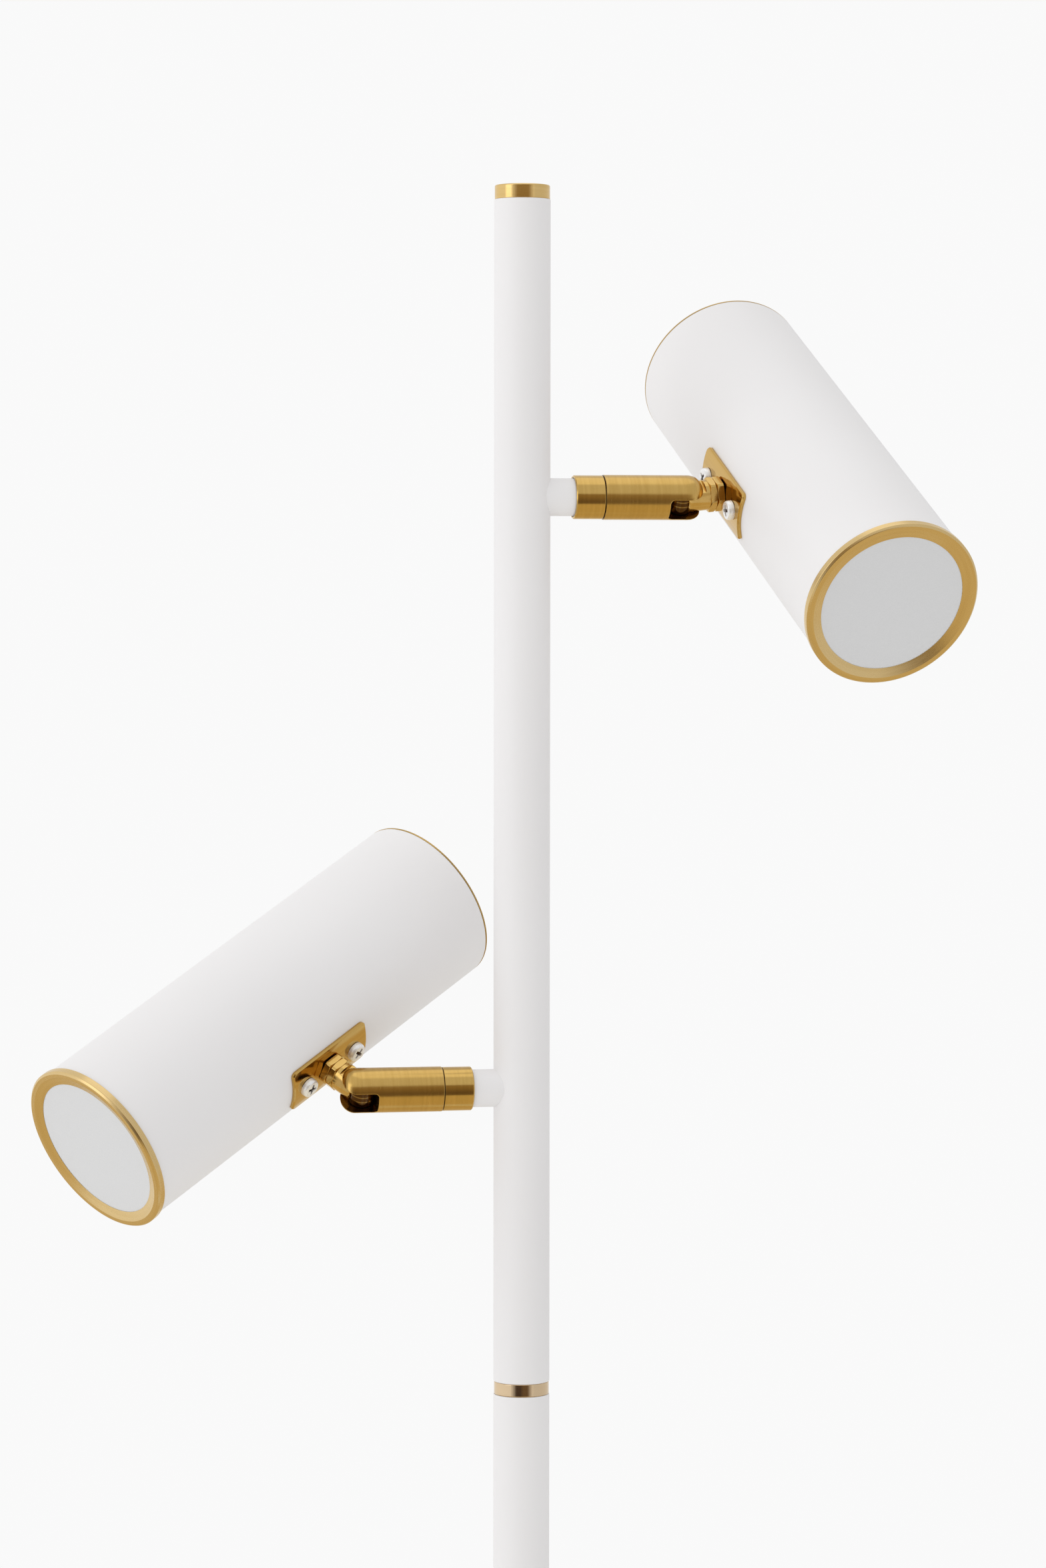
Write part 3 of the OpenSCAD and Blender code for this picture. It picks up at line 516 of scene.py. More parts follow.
topCap = {"edge": 0.5 * mm, "plugEdge": 0.3 * mm, "steps": 12, "around": 160}
low, high = reach("top_cap", upright)
seat = reach("pole_upper", upright)[1][0]
plug = girth("top_cap", upright, high=low[0] + nearEnd)[1]
turnedPiece("topCap", [
    (high[0], 0, 0), (high[0], high[1], topCap["edge"]), (seat, high[1], slight), (seat, plug, 0),
    (low[0], plug, topCap["plugEdge"]), (low[0], 0, 0)],
    topCap["around"], upright, capBrass, "top_cap", steps=topCap["steps"])
print("base and pole made")


# Arms: stub, collar and barrel

stub = {"edge": 0.4 * mm, "around": 96}


# White stub: turned, its inner end drawn back to the pole's surface x = sqrt(R^2 - across^2)
def makeStub(side):
    place = arms[side]["swivel"]
    node = side + "_stub"
    end = reach(node, place)[1][0]
    bore, radius = girth(node, place)
    outline = softened([(0, bore, 0), (0, radius, 0), (end, radius, stub["edge"]), (end, bore, slight)], True)
    patch = turned(outline, fullTurn(stub["around"]), True)
    grid = patch["grid"]
    poleRadius = reach("pole_upper", upright)[1][1]
    across = (grid @ place[1].T)[..., 1]
    onPole = np.sqrt(np.maximum(poleRadius ** 2 - across ** 2, 0))
    grid[..., 0] = np.where(grid[..., 0] == 0, onPole, grid[..., 0])
    solid(side + "Stub", [patch], place, whitePaint, node)


collar = {"edge": 0.3 * mm, "mouthBevel": 0.35 * mm, "mouthDepth": 1.05 * mm, "mouthGap": 0.25 * mm,
          "floorEdge": 0.1 * mm, "lipEdge": 0.12 * mm, "bevelEdge": 0.15 * mm, "within": 0.05 * mm,
          "around": 160}


# Brass collar: turned, with a shallow mouth round the stub. The mouth and the edge at the split get painted
# shade.
def makeCollar(side):
    place = arms[side]["swivel"]
    node = side + "_collar"
    start, end = (corner[0] for corner in reach(node, place))
    bore, radius = girth(node, place)
    lip = girth(side + "_stub", place)[1] + collar["mouthGap"]
    floor, bevel = start + collar["mouthDepth"], collar["mouthBevel"]
    outline = softened([
        (floor, bore, collar["floorEdge"]), (floor, lip, collar["floorEdge"]),
        (start, lip, collar["lipEdge"]), (start, radius - bevel, collar["lipEdge"]),
        (start + bevel, radius, collar["bevelEdge"]), (end, radius, collar["edge"]),
        (end, bore, slight)], True)
    ring = turned(outline, fullTurn(collar["around"]), True)
    along, radial = ring["grid"][..., 0], np.hypot(ring["grid"][..., 1], ring["grid"][..., 2])
    inMouth = (along > start + collar["within"]) & (radial < lip + collar["within"])
    # painted shade: full in the mouth, and growing over the last edge radius towards the split
    ring["stain"] = np.maximum(inMouth * 1.0, np.clip((along - end) / collar["edge"] + 1, 0, 1) ** 2)
    solid(side + "Collar", [ring], place, collarBrass, node)


barrel = {
    "slotHalf": 4.4 * mm, "slotEnd": 52.5 * mm, "slotCorner": 1.4 * mm, "noseStart": 60.0 * mm,
    "noseRadius": 5.2 * mm, "edge": 0.35 * mm, "endEdge": 0.3 * mm, "fit": 0.05 * mm,
    # the slot, end wall and rim values are painted shade in the slot and along its edges
    "slotStain": 0.78, "endWallStain": 0.0, "endWallReach": 1.2, "rimStain": 0.96, "rimReach": 0.25 * mm,
    "endWallPoints": 10, "cornerPoints": 8, "earPoints": 13, "nosePoints": 21, "edgeRows": 6,
    "outerRows": np.concatenate([[0, 0.012], np.linspace(0.06, 0.95, 16), [0.985, 1]]),
    "slotRows": np.concatenate([[-1, -0.985, -0.97, -0.95], np.linspace(-0.9, 0.9, 13),
                                [0.95, 0.97, 0.985, 1]]),
    "leastSquare": 1e-12, "screwHeadShare": 0.9, "pocketTop": 1 * mm, "pocketStain": 0.5, "pocketAround": 96,
}


# Pocket for the pivot screw's head: turned, with a little room round the head, and out past the
# barrel's surface
def screwPocket(side, radius):
    axes = arms[side]["swivel"][1]
    place = placeAt(arms[side]["pivot"], axes[:, 2], axes[:, 0])
    local = seenFrom(place, corners(side + "_pivot_screw"))
    fromPin = np.hypot(local[:, 1], local[:, 2])
    headX = local[fromPin > barrel["screwHeadShare"] * fromPin.max()][:, 0]
    toHead = math.copysign(1, headX.mean())
    floor, wall = toHead * (abs(headX).min() - barrel["fit"]), fromPin.max() + barrel["fit"]
    top = toHead * (radius + barrel["pocketTop"])
    pocket = turned(np.array([(floor, 0), (floor, wall), (top, wall), (top, 0)]),
                    fullTurn(barrel["pocketAround"]))
    # painted shade on the walls of the screw's pocket
    pocket["stain"] = barrel["pocketStain"]
    return meshOf("pocket", [pocket], place, barrelBrass)


# The barrel is turned work with a slot: one quarter (y and z positive) is worked out and mirrored.
# The slot's edge E(s) runs from the middle of the closed end, round its corner, along the ear and
# round the nose to the ear's tip, as (x, sqrt(R(x)^2 - z^2), z). A quadratic curve with E as its
# handle rounds it, between the points that lie edge away from E on the outside and in the slot.
def makeBarrel(side):
    place = arms[side]["swivel"]
    node = side + "_barrel"
    low, high = reach(node, place)
    radius = high[2]
    half, end, cut = barrel["slotHalf"], barrel["slotEnd"], barrel["slotCorner"]
    noseStart, nose, edge = barrel["noseStart"], barrel["noseRadius"], barrel["edge"]

    def outerRadius(x):
        pastStart = np.clip(x - noseStart, 0, None)
        return radius - nose + np.sqrt(np.clip(nose ** 2 - pastStart ** 2, 0, None))

    tip = math.sqrt(nose ** 2 - (half - (radius - nose)) ** 2)
    flat = np.linspace(0, half - cut, barrel["endWallPoints"])
    quarterTurn = np.linspace(0, math.pi / 2, barrel["cornerPoints"] + 1)[1:]
    ear = np.linspace(end + cut, noseStart, barrel["earPoints"] + 1)[1:]
    noseTurn = np.linspace(0, math.pi / 2, barrel["nosePoints"] + 1)[1:]
    x = np.concatenate([0 * flat + end, end + cut - cut * np.cos(quarterTurn), ear,
                        noseStart + tip * np.sin(noseTurn)])
    z = np.concatenate([flat, half - cut + cut * np.sin(quarterTurn), 0 * ear + half, 0 * noseTurn + half])
    y = np.sqrt(np.clip(outerRadius(x) ** 2 - z ** 2, 0, None))
    y[-1] = 0
    sharp = gridOf(x, y, z)
    along = unit(np.gradient(sharp, axis=0))
    along[0], along[-1] = (0, 0, 1), (0, -1, 0)
    pastStart = np.clip(x - noseStart, 0, None)
    slope = pastStart / np.sqrt(np.clip(nose ** 2 - pastStart ** 2, barrel["leastSquare"], None))
    outward = unit(gridOf(slope, y / outerRadius(x), z / outerRadius(x)))
    turn = np.concatenate([0 * flat, quarterTurn, 0 * ear + math.pi / 2, 0 * noseTurn + math.pi / 2])
    intoSlot = gridOf(np.cos(turn), 0, -np.sin(turn))
    onOuter = sharp + edge * unit(np.cross(along, outward))
    onSlot = sharp + edge * unit(np.cross(intoSlot, along))
    onSlot[0, 2] = 0
    onSlot[-1, 1] = 0
    edgeAngle = np.arctan2(onOuter[:, 2], onOuter[:, 1])
    edgeAngle[0], edgeAngle[-1] = 0, math.pi / 2
    length = np.concatenate([[0], np.cumsum(np.linalg.norm(np.diff(sharp, axis=0), axis=1))])
    startAngle = length / length[-1] * math.pi / 2

    # outside, from the circle near the split to the slot's edge: straight in (x, angle)
    startX = low[0] + barrel["endEdge"]
    t = barrel["outerRows"][:, None]
    gridX = (1 - t) * startX + t * onOuter[:, 0]
    outside = aboutX(gridX, outerRadius(gridX), (1 - t) * startAngle + t * edgeAngle)
    # rounded edge, quadratic curve in u
    u = np.linspace(0, 1, barrel["edgeRows"])[:, None, None]
    rounding = (1 - u) ** 2 * outside[-1] + 2 * u * (1 - u) * sharp + u ** 2 * onSlot
    rounding[:, 0, 2] = 0
    rounding[:, -1, 1] = 0
    # slot surface from one mouth to the other: y goes from -Y to Y
    v = barrel["slotRows"][:, None]
    slotFace = gridOf(onSlot[:, 0], v * onSlot[:, 1], onSlot[:, 2])
    # painted shade and painted dark reflection in the slot: the closed end is paler than the ears' inner
    # faces, with a painted dark line near every edge
    onEnd = np.clip((end + barrel["endWallReach"] * cut - onSlot[:, 0]) / cut, 0, 1)
    wall = barrel["slotStain"] + (barrel["endWallStain"] - barrel["slotStain"]) * onEnd
    rim = np.clip(1 - (1 - np.abs(v)) * onSlot[:, 1] / barrel["rimReach"], 0, 1)
    slotTone = wall + (barrel["rimStain"] - wall) * rim
    # the rounded edge darkens towards the slot: the painted dark line along the edge
    edgeTone = barrel["rimStain"] * u[..., 0] ** 3
    patches = []
    for flipZ in (1, -1):
        patches.append({"grid": slotFace * (1, 1, flipZ), "stain": slotTone})
        for flipY in (1, -1):
            patches.append({"grid": outside * (1, flipY, flipZ)})
            patches.append({"grid": rounding * (1, flipY, flipZ), "stain": edgeTone})

    # end face and bore, on the same angles as the outside and from its first circle
    rest = startAngle[1:-1]
    angles = np.concatenate([startAngle, math.pi - rest[::-1], [math.pi], math.pi + rest, [1.5 * math.pi],
                             2 * math.pi - rest[::-1]])
    boreEnd = reach(side + "_spindle", place)[1][0]
    bore = girth(side + "_spindle", place, low[0] + nearEnd)[1] + barrel["fit"]
    face = softened([(startX + nearEnd, radius, 0), (low[0], radius, barrel["endEdge"]),
                     (low[0], bore, slight), (boreEnd, bore, 0), (boreEnd, 0, 0)])[2:]
    face[0] = (startX, radius)
    endPatch = turned(face, angles)
    # painted shade on the end face, growing towards the split against the collar
    endPatch["stain"] = np.clip((startX - endPatch["grid"][..., 0]) / barrel["endEdge"], 0, 1)
    patches.append(endPatch)
    solid(side + "Barrel", patches, place, barrelBrass, node, cutter=screwPocket(side, radius))


for side in arms:
    makeStub(side)
    makeCollar(side)
    makeBarrel(side)
print("stubs, collars and barrels made")


# Arms: tongue with its hexagon, lock nut and bracket

nut = {"chamferSlope": 0.55, "faceShare": 0.975, "cornerShare": 0.965, "farChamfer": 0.3, "soft": 0.06 * mm,
       "faceDrop": 0.02, "spareIn": 0.5, "spareDown": 0.3, "around": 288}


# Hexagon from x0 to x1. Radius over the angle a: side(a) = apothem / cos(a folded into 60 degrees), its
# corners turned off at the corner circle. The chamfer leaves each face at the face circle and meets the
# sides at depth (side(a) - face circle) * slope, with one spare row each way to soften that edge.
# farChamfer is the share of that depth at x1.
def hexGrid(apothem, x0, x1, inner=0.0, farChamfer=1.0):
    angle = fullTurn(nut["around"])
    face, soft = apothem * nut["faceShare"], nut["soft"]
    cornerCircle = apothem / math.cos(math.pi / 6) * nut["cornerShare"]
    folded = np.mod(angle, math.pi / 3) - math.pi / 6
    side = np.minimum(apothem / np.cos(folded), cornerCircle)
    deep = (side - face) * nut["chamferSlope"]
    share = nut["spareIn"] * soft / np.maximum(side - face, soft)
    zero = 0 * angle
    depths = [zero, zero, deep * nut["faceDrop"], deep * (1 - share), deep + soft * nut["spareDown"],
              deep + soft]
    radii = [zero + inner, zero + face - soft, zero + face, side - (side - face) * share, side, side]
    x = np.stack([x0 + depth for depth in depths] + [x1 - depth * farChamfer for depth in depths[::-1]])
    rings = np.stack(radii + radii[::-1])
    brush = gridOf(x, rings * np.sin(angle), 0)
    return {"grid": aboutX(x, rings, angle), "wrapCols": True, "wrapRows": inner > 0, "brush": brush}


# The hub and rim values are painted shade levels: dark over the hub, light on its rims for a painted
# highlight
tongue = {
    "hubRadius": 4.7 * mm, "hubHalf": 4.3 * mm, "hubRim": 1.3 * mm, "hubRows": 39, "hubSteps": 10,
    "hubAround": 128, "hubStain": 0.95, "rimStain": 0.1, "rimAt": 0.38, "rimWidth": 0.35,
    "marks": (-1.5 * mm, 0.6 * mm), "markWidth": 0.22 * mm, "markShine": 0.5, "leastSine": 1e-6,
    "shank": 5.4 * mm, "flats": 4.27 * mm, "flatsStart": 1.5 * mm, "flatsEnd": 8.1 * mm, "bevel": 0.3 * mm,
    "flatsStep": 0.12 * mm, "overlap": 0.2 * mm, "shankAround": 192,
    "hexStart": 9.6 * mm, "hexEnd": 12.2 * mm, "apothem": 5.6 * mm,
    "stud": 4.0 * mm, "studEdge": 0.4 * mm, "studAround": 64,
}


# Hub: turned about the pivot. It gets painted shade and painted dark reflection, with painted highlights on
# its rims and painted glints at a few places round it.
def tongueHub():
    half, radius, rim = tongue["hubHalf"], tongue["hubRadius"], tongue["hubRim"]
    rows = np.linspace(rim - half, half - rim, tongue["hubRows"] + 2)[1:-1]
    hub = turned(softened([(-half, 0, 0), (-half, radius, rim)] + [(row, radius, 0) for row in rows] +
                          [(half, radius, rim), (half, 0, 0)], steps=tongue["hubSteps"]),
                 fullTurn(tongue["hubAround"]))
    along, out = hub["grid"][..., 0], np.hypot(hub["grid"][..., 1], hub["grid"][..., 2])
    inset = tongue["rimAt"] * rim
    fromRim = np.hypot(along - np.sign(along) * (half - inset), out - (radius - inset))
    onRim = np.clip(1 - fromRim / (tongue["rimWidth"] * rim), 0, 1)
    marks = sum(np.exp(-((along - mark) / tongue["markWidth"]) ** 2) for mark in tongue["marks"])
    paintedHighlight = np.clip(onRim + tongue["markShine"] * marks, 0, 1)
    # painted shade over the hub, lifted where highlights and glints are painted
    hub["stain"] = tongue["hubStain"] + (tongue["rimStain"] - tongue["hubStain"]) * paintedHighlight
    hub["grid"] = hub["grid"][..., [1, 2, 0]]
    return hub


# Shank: a circle cut by two flats, radius = min(r, limit / |sin a|), over the stations (x, r, limit)
def tongueShank():
    full, flat, bevel = tongue["shank"], tongue["flats"], tongue["bevel"]
    start, end, inHex = tongue["flatsStart"], tongue["flatsEnd"], tongue["hexStart"] + tongue["overlap"]
    x, r, limit = np.array([
        (start, 0, flat), (start, full - bevel, flat), (start + bevel, full, flat), (end - bevel, full, flat),
        (end, full, flat), (end + tongue["flatsStep"], full, full), (end + bevel, full, full),
        (inHex, full, full), (inHex, 0, full)]).T[:, :, None]
    a = fullTurn(tongue["shankAround"])
    radius = np.minimum(r, limit / np.maximum(np.abs(np.sin(a)), tongue["leastSine"]))
    return {"grid": aboutX(x, radius, a), "wrapCols": True}


# Hexagon and stud are worked out in the bracket's place and turned into the tilt's
def makeTongue(side):
    tilt, bracket = arms[side]["tilt"], arms[side]["bracket"]
    node = side + "_tongue"
    bracketInTilt = bracket[1].T @ tilt[1]
    hexagon = hexGrid(tongue["apothem"], tongue["hexStart"], tongue["hexEnd"])
    studStart, studEnd = tongue["hexEnd"] - tongue["overlap"], reach(node, bracket)[1][0]
    stud = turned(softened([(studStart, 0, 0), (studStart, tongue["stud"], 0),
                            (studEnd, tongue["stud"], tongue["studEdge"]), (studEnd, 0, 0)]),
                  fullTurn(tongue["studAround"]))
    for part in (hexagon, stud):
        part["grid"] = part["grid"] @ bracketInTilt
    solid(side + "Tongue", [tongueHub(), tongueShank(), hexagon, stud], tilt, brightBrass, node)


def makeLockNut(side):
    place = arms[side]["bracket"]
    node = side + "_lock_nut"
    low, high = reach(node, place)
    bore = girth(node, place)[0]
    solid(side + "LockNut", [hexGrid(tongue["apothem"], low[0], high[0], bore, nut["farChamfer"])],
          place, brightBrass, node)


saddle = {"corner": 2.0 * mm, "bevel": 0.45 * mm, "thick": 1.4 * mm, "soft": 0.12 * mm, "backEdge": 0.1 * mm,
          "cornerPoints": 12, "sidePoints": 24, "innerRows": 14, "firstStep": 0.02}


# Outline of the bracket plate, carried in by inset: a rounded rectangle (p along the head, q round it)
# whose corners are turned at the corner radius less the inset
def plateOutline(halfLong, halfWide, inset):
    r = saddle["corner"] - inset
    a, b = halfLong - saddle["corner"], halfWide - saddle["corner"]
    t = (np.arange(4) * math.pi / 2)[:, None] + np.linspace(0, math.pi / 2, saddle["cornerPoints"])
    centres = np.array([(a, b), (-a, b), (-a, -b), (a, -b)])[:, None]
    turns = centres + r * np.stack([np.cos(t), np.sin(t)], -1)
    first, last = turns[:, -1:], np.roll(turns[:, :1], -1, 0)
    share = np.linspace(0, 1, saddle["sidePoints"] + 2)[1:-1, None]
    return np.concatenate([turns, first + share * (last - first)], 1).reshape(-1, 2)


# Bracket plate: its outline is carried inwards over the section (inset, height) and bent round the
# head's axis: radius = head radius + height, angle = q / outer radius
def makeSaddle(side):
    place = arms[side]["bracket"]
    node = side + "_saddle"
    low, high = reach(node, place)
    away, thick, bevel = arms[side]["axisAway"], saddle["thick"], saddle["bevel"]
    outer = away - low[0]
    inner = outer - thick
    halfLong, halfWide = high[1], math.asin(high[2] / outer) * outer
    section = softened([(halfWide, 0, 0), (0, 0, saddle["backEdge"]), (0, thick - bevel, saddle["soft"]),
                        (bevel, thick, saddle["soft"]), (halfWide, thick, 0)])
    atEdge = section[section[:, 0] < halfWide / 2]
    rims = [plateOutline(halfLong, halfWide, inset) for inset in atEdge[:, 0]]
    face = plateOutline(halfLong, halfWide, atEdge[:, 0].max())
    scales = 1 - np.linspace(saddle["firstStep"], 1, saddle["innerRows"])
    rows = np.array([rims[0] * scale for scale in scales[::-1]] + rims + [face * scale for scale in scales])
    p, q = rows[..., 0], rows[..., 1]
    h = np.concatenate([0 * scales, atEdge[:, 1], 0 * scales + thick])[:, None]
    angle, radius = q / outer, inner + h
    grid = gridOf(away - radius * np.cos(angle), p, radius * np.sin(angle))
    brush = gridOf(q, h, 0)
    solid(side + "Saddle", [{"grid": grid, "wrapCols": True, "brush": brush}], place, saddleBrass, node)


screw = {
    "rings": 64, "around": 192, "rim": 0.7 * mm, "rimDrop": 0.62, "dome": 0.15 * mm, "thread": 2.0 * mm,
    "crossHalf": 0.58 * mm, "crossReach": 2.1 * mm, "crossTaper": 0.25, "crossRise": 0.55,
    "crossDepth": 1.3 * mm, "soft": 0.14 * mm, "crossStain": 0.97, "stainReach": 1.6, "crease": 40,
    "turns": {"upper": (0.5, 1.1), "lower": (0.9, 0.35)},
}


# Pan head: height over (r, a) = rim curve + shallow dome - cross recess. The recess is a smooth
# step across each of two arms, narrowing and rising towards their ends. The recess's shape is also
# returned, as how far painted shade darkens it.
def screwHead(radius, tall, turn):
    r = np.linspace(0, 1, screw["rings"])[:, None] * radius
    a = fullTurn(screw["around"])[None, :]
    fromRim = np.clip((r - (radius - screw["rim"])) / screw["rim"], 0, 1)
    dome = screw["dome"] * (r / radius) ** 2
    rimFall = (tall - screw["dome"]) * screw["rimDrop"] * (1 - np.sqrt(1 - fromRim ** 2))

    def arm(angle):
        u, v = np.abs(r * np.cos(a - angle)), np.abs(r * np.sin(a - angle))
        half = screw["crossHalf"] * (1 - screw["crossTaper"] * u / screw["crossReach"])
        inSide = np.clip((half + screw["soft"] / 2 - v) / screw["soft"], 0, 1)
        inEnd = np.clip((screw["crossReach"] - u) / (screw["crossRise"] * screw["crossReach"]), 0, 1)
        return inSide * inSide * (3 - 2 * inSide) * np.sqrt(inEnd)

    cross = np.maximum(arm(turn), arm(turn + math.pi / 2))
    height = tall - dome - rimFall - screw["crossDepth"] * cross
    return aboutX(-height, r, a), np.clip(cross * screw["stainReach"], 0, 1)


def makeScrews(side):
    place = arms[side]["bracket"]
    node = side + "_saddle_screws"
    local = seenFrom(place, corners(node))
    seatX = reach(side + "_saddle", place)[0][0]
    patches = []
    for sign, turn in zip((-1, 1), screw["turns"][side]):
        part = local[local[:, 1] * sign > 0]
        low, high = part.min(0), part.max(0)
        centre, radius = (low[1] + high[1]) / 2, (high[1] - low[1]) / 2
        head, cross = screwHead(radius, seatX - low[0], turn)
        rim, tail = head[-1], (high[0] - seatX, 0, 0)
        neck = rim * (0, screw["thread"] / radius, screw["thread"] / radius)
        below = np.stack([rim * (0, 1, 1), neck, neck + tail, rim * 0 + tail])
        # painted shade in the cross recess
        stain = np.concatenate([cross * screw["crossStain"], np.zeros(below.shape[:2])])
        grid = np.concatenate([head, below]) + (seatX, centre, 0)
        patches.append({"grid": grid, "wrapCols": True, "stain": stain})
    solid(side + "SaddleScrews", patches, place, screwSteel, node, screw["crease"])


for side in arms:
    makeTongue(side)
    makeLockNut(side)
    makeSaddle(side)
    makeScrews(side)
print("tongues, nuts, brackets and screws made")


# Heads

headTube = {"wall": 1.5 * mm, "rim": 0.3 * mm, "around": 224}
frontRing = {"outerBevel": 0.7 * mm, "bead": 2.3 * mm, "lip": 1.2 * mm, "dish": 1.1 * mm, "soft": 0.4 * mm,
             "windowEdge": 0.1 * mm, "lipEdge": 0.05 * mm, "sleeveEdge": 0.15 * mm, "around": 224}
diffuser = {"edge": 0.3 * mm, "around": 192}
rearCap = {"seatEdge": 0.15 * mm, "discThick": 3.0 * mm, "rimThick": 2.0 * mm, "around": 224}
sleeveEnd = 0.1 * mm  # how near its end a sleeve's girth is taken


def makeHead(side):
    place = arms[side]["head"]
    node = side + "_head_tube"
    tubeLow, tubeHigh = reach(node, place)
    outer = tubeHigh[1]
    bore = outer - headTube["wall"]
    turnedPiece(side + "HeadTube", ringOutline(tubeLow[0], tubeHigh[0], bore, outer, headTube["rim"], slight),
                headTube["around"], place, whitePaint, node, True)

    node = side + "_front_ring"
    low, high = reach(node, place)
    back, front, rim = tubeHigh[0], high[0], high[1]
    inner, sleeve = girth(node, place, high=low[0] + sleeveEnd)
    window = girth(node, place)[0]
    lip, bevel, soft = front - frontRing["lip"], frontRing["outerBevel"], frontRing["soft"]
    turnedPiece(side + "FrontRing", [
        (back, rim, slight), (front - bevel, rim, soft), (front, rim - bevel, soft),
        (front, rim - frontRing["bead"], soft), (front - frontRing["dish"], window, frontRing["windowEdge"]),
        (lip, window, frontRing["lipEdge"]), (lip, inner, 0), (low[0], inner, frontRing["sleeveEdge"]),
        (low[0], sleeve, frontRing["sleeveEdge"]), (back, sleeve, 0)],
        frontRing["around"], place, ringBrass, node, True)

    node = side + "_diffuser"
    low, high = reach(node, place)
    turnedPiece(side + "Diffuser", ringOutline(low[0], high[0], 0, high[1], diffuser["edge"]),
                diffuser["around"], place, opal, node)

    node = side + "_rear_cap"
    low, high = reach(node, place)
    sleeve = girth(node, place, low=high[0] - sleeveEnd)[1]
    inner, disc = sleeve - rearCap["rimThick"], low[0] + rearCap["discThick"]
    turnedPiece(side + "RearCap", [
        (low[0], 0, 0), (low[0], outer, slight), (tubeLow[0], outer, rearCap["seatEdge"]),
        (tubeLow[0], sleeve, 0), (high[0], sleeve, slight), (high[0], inner, slight), (disc, inner, 0),
        (disc, 0, 0)],
        rearCap["around"], place, rearBrass, node)


for side in arms:
    makeHead(side)
print("heads made")


# Floor, light and camera

studio = {
    "floorRadius": 2.4, "floorFade": 0.9, "floorRim": 0.02, "floorTone": 0.93, "floorShade": 0.98,
    "floorRoughness": 0.9, "floorGloss": 0.2, "mottle": 3.0, "around": 160, "rows": 12,
    "backdrop": 0.95, "worldTone": 0.86, "worldLean": (-0.13, 0.05, -0.03),
}


# A stage mesh from a grid of points, with the given finish
def stagePiece(name, grid, wrapCols, material):
    mesh = bpy.data.meshes.new(name)
    mesh.from_pydata(grid.reshape(-1, 3).tolist(), [], quads(*grid.shape[:2], 0, False, wrapCols).tolist())
    mesh.materials.append(material)
    piece = linked(name, mesh)
    return piece


# Pale disc, fading out towards its rim
def makeFloor():
    r = np.linspace(0, studio["floorRadius"], studio["rows"])[:, None]
    t = fullTurn(studio["around"])
    tone = studio["floorTone"]
    f = Finish("floorPaint")
    mottled = f.noise(f.where, studio["mottle"], detail=4.0)
    f.set(Base_Color=f.between(mottled, (tone,) * 3, (tone * studio["floorShade"],) * 3),
          Roughness=studio["floorRoughness"], Specular_IOR_Level=studio["floorGloss"])
    away = f.add("ShaderNodeVectorMath", {"operation": "LENGTH"})
    f.feed(away.inputs[0], f.where)
    f.set(Alpha=f.ranged(away.outputs["Value"], studio["floorRadius"] - studio["floorFade"],
                         studio["floorRadius"] - studio["floorRim"], 1, 0))
    stagePiece("studioFloor", gridOf(r * np.cos(t), r * np.sin(t), 0.0), True, f.material)


# Pale surroundings: tone = middle + lean . direction, and the plain backdrop where the camera looks
def makeWorld():
    world = bpy.data.worlds.new("studioWorld")
    bpy.context.scene.world = world
    world.use_nodes = True
    tree = world.node_tree
    tree.nodes.clear()
    kinds = ("TexCoord", "VectorMath", "Math", "Background", "Background", "LightPath", "MixShader",
             "OutputWorld")
    where, lean, tone, lit, seen, path, mix, output = [tree.nodes.new("ShaderNode" + kind) for kind in kinds]
    lean.operation, tone.operation = "DOT_PRODUCT", "ADD"
    lean.inputs[1].default_value = studio["worldLean"]
    tone.inputs[1].default_value = studio["worldTone"]
    lit.inputs["Color"].default_value = (1, 1, 1, 1)
    seen.inputs["Color"].default_value = (studio["backdrop"],) * 3 + (1,)
    for source, socket in (
            (where.outputs["Generated"], lean.inputs[0]), (lean.outputs["Value"], tone.inputs[0]),
            (tone.outputs[0], lit.inputs["Strength"]), (path.outputs["Is Camera Ray"], mix.inputs[0]),
            (lit.outputs[0], mix.inputs[1]), (seen.outputs[0], mix.inputs[2]),
            (mix.outputs[0], output.inputs["Surface"])):
        tree.links.new(source, socket)


softBoxes = {
    "aim": (0, 0, 1.1),
    "keyLight": {"at": (-2.1, -0.9, 1.6), "size": (1.4, 1.6), "power": 5.0},
    "topLight": {"at": (0.2, 0.2, 3.0), "size": (1.6, 1.6), "power": 3.0},
}


# Soft light from the camera's left and from above, out of the camera's sight
def makeLights():
    for name in ("keyLight", "topLight"):
        box = softBoxes[name]
        light = bpy.data.lights.new(name, "AREA")
        light.shape = "RECTANGLE"
        light.size, light.size_y = box["size"]
        light.energy = box["power"]
        lamp = linked(name, light)
        lamp.location = box["at"]
        beam = Vector(softBoxes["aim"]) - Vector(box["at"])
        lamp.rotation_euler = beam.to_track_quat("-Z", "Y").to_euler()
        lamp.visible_camera = False


# Cards seen only in gloss: a brown one on the camera's side, part of a cylinder about the pole, and a
# warm one on the floor. A card's glow goes from foot to head over the heights in rise, and its foot
# from deep to foot over the X in aside, so it is darkest where the upright rings mirror it. Its ends
# fade into the surroundings over fade degrees.
cards = {
    "around": 97, "rows": 12, "rise": (0.65, 1.25), "aside": (-0.32, -0.05),
    "matt": ((0.02, 0.02, 0.02), (0.03, 0.03, 0.03)),
    "brown": {"radius": (1.3, 1.3), "height": (0.27, 1.56), "from": -146, "to": -50, "fade": 24,
              "foot": (0.12, 0.07, 0.025), "deep": (0.035, 0.015, 0.006), "head": (0.27, 0.18, 0.065)},
    "warm": {"radius": (0.16, 1.9), "height": (0.004, 0.004), "from": 0, "to": 360, "fade": 0.001,
             "foot": (0.66, 0.54, 0.31), "deep": (0.66, 0.54, 0.31), "head": (0.66, 0.54, 0.31)},
}


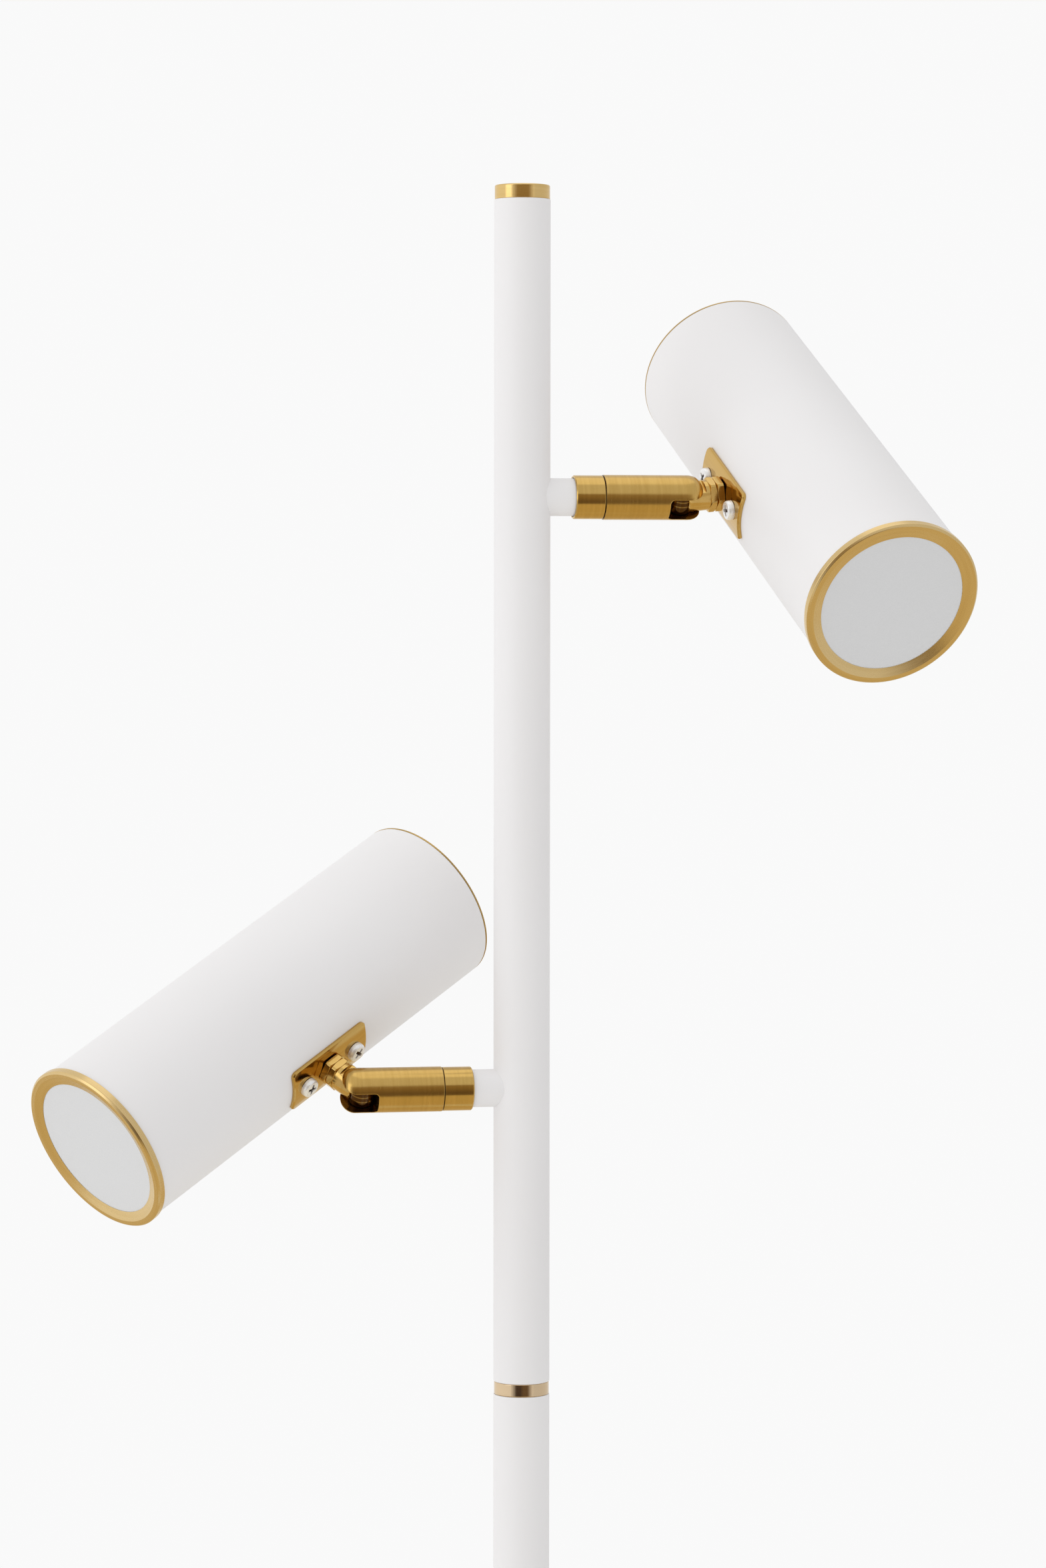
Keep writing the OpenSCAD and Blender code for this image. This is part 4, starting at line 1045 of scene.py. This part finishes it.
# A card's points are radius (cos t, sin t) at height z, both straight from its inner edge to its outer.
# Attribute "fade" is 1 inside the card and falls to 0 at its ends.
def makeCard(name):
    card = cards[name]
    degrees = np.linspace(card["from"], card["to"], cards["around"])
    t = np.radians(degrees)
    share = np.linspace(0, 1, cards["rows"])[:, None]
    radius, z = (inner + share * (outer - inner) for inner, outer in (card["radius"], card["height"]))
    f = Finish(name + "CardTone")
    inCard = f.add("ShaderNodeAttribute", {"attribute_name": "fade"}).outputs["Fac"]
    split = f.add("ShaderNodeSeparateXYZ", Vector=f.where)
    rise = f.ranged(split.outputs["Z"], *cards["rise"])
    aside = f.ranged(split.outputs["X"], *cards["aside"])
    glow = f.between(rise, f.between(aside, card["deep"], card["foot"]), card["head"])
    f.set(Base_Color=f.between(rise, *cards["matt"]), Roughness=1.0, Emission_Strength=1.0,
          Emission_Color=f.between(inCard, (studio["worldTone"],) * 3, glow))
    piece = stagePiece(name + "Card", gridOf(radius * np.cos(t), radius * np.sin(t), z), False, f.material)
    fade = np.clip(np.minimum(degrees - card["from"], card["to"] - degrees) / card["fade"], 0, 1) + 0 * z
    layer = piece.data.attributes.new("fade", "FLOAT", "POINT")
    layer.data.foreach_set("value", fade.astype(np.float32).ravel())
    for ray in ("camera", "diffuse", "shadow", "transmission"):
        setattr(piece, "visible_" + ray, False)


# The photo's camera: place in metres, turn, dip and roll in degrees, focal length in the photo's pixels
photoView = {
    "at": (-0.3116, -1.6522, 1.1580), "turn": -10.694, "dip": 2.351, "roll": 0.052,
    "focalPixels": 7100, "tallPixels": 2351, "sensor": 36.0, "clip": (0.05, 50),
}


def makeCamera():
    data = bpy.data.cameras.new("photoCamera")
    data.sensor_width = photoView["sensor"]
    data.lens = photoView["focalPixels"] * photoView["sensor"] / photoView["tallPixels"]
    data.clip_start, data.clip_end = photoView["clip"]
    camera = linked("photoCamera", data)
    camera.location = photoView["at"]
    turn = Euler((0, 0, math.radians(photoView["turn"]))).to_matrix()
    dip = Euler((math.radians(90 - photoView["dip"]), 0, 0)).to_matrix()
    roll = Euler((0, 0, math.radians(photoView["roll"]))).to_matrix()
    camera.rotation_euler = (turn @ dip @ roll).to_euler()
    bpy.context.scene.camera = camera


makeFloor()
makeWorld()
makeLights()
for name in ("brown", "warm"):
    makeCard(name)
makeCamera()
bpy.context.scene.view_settings.view_transform = "Standard"
print("studio set")
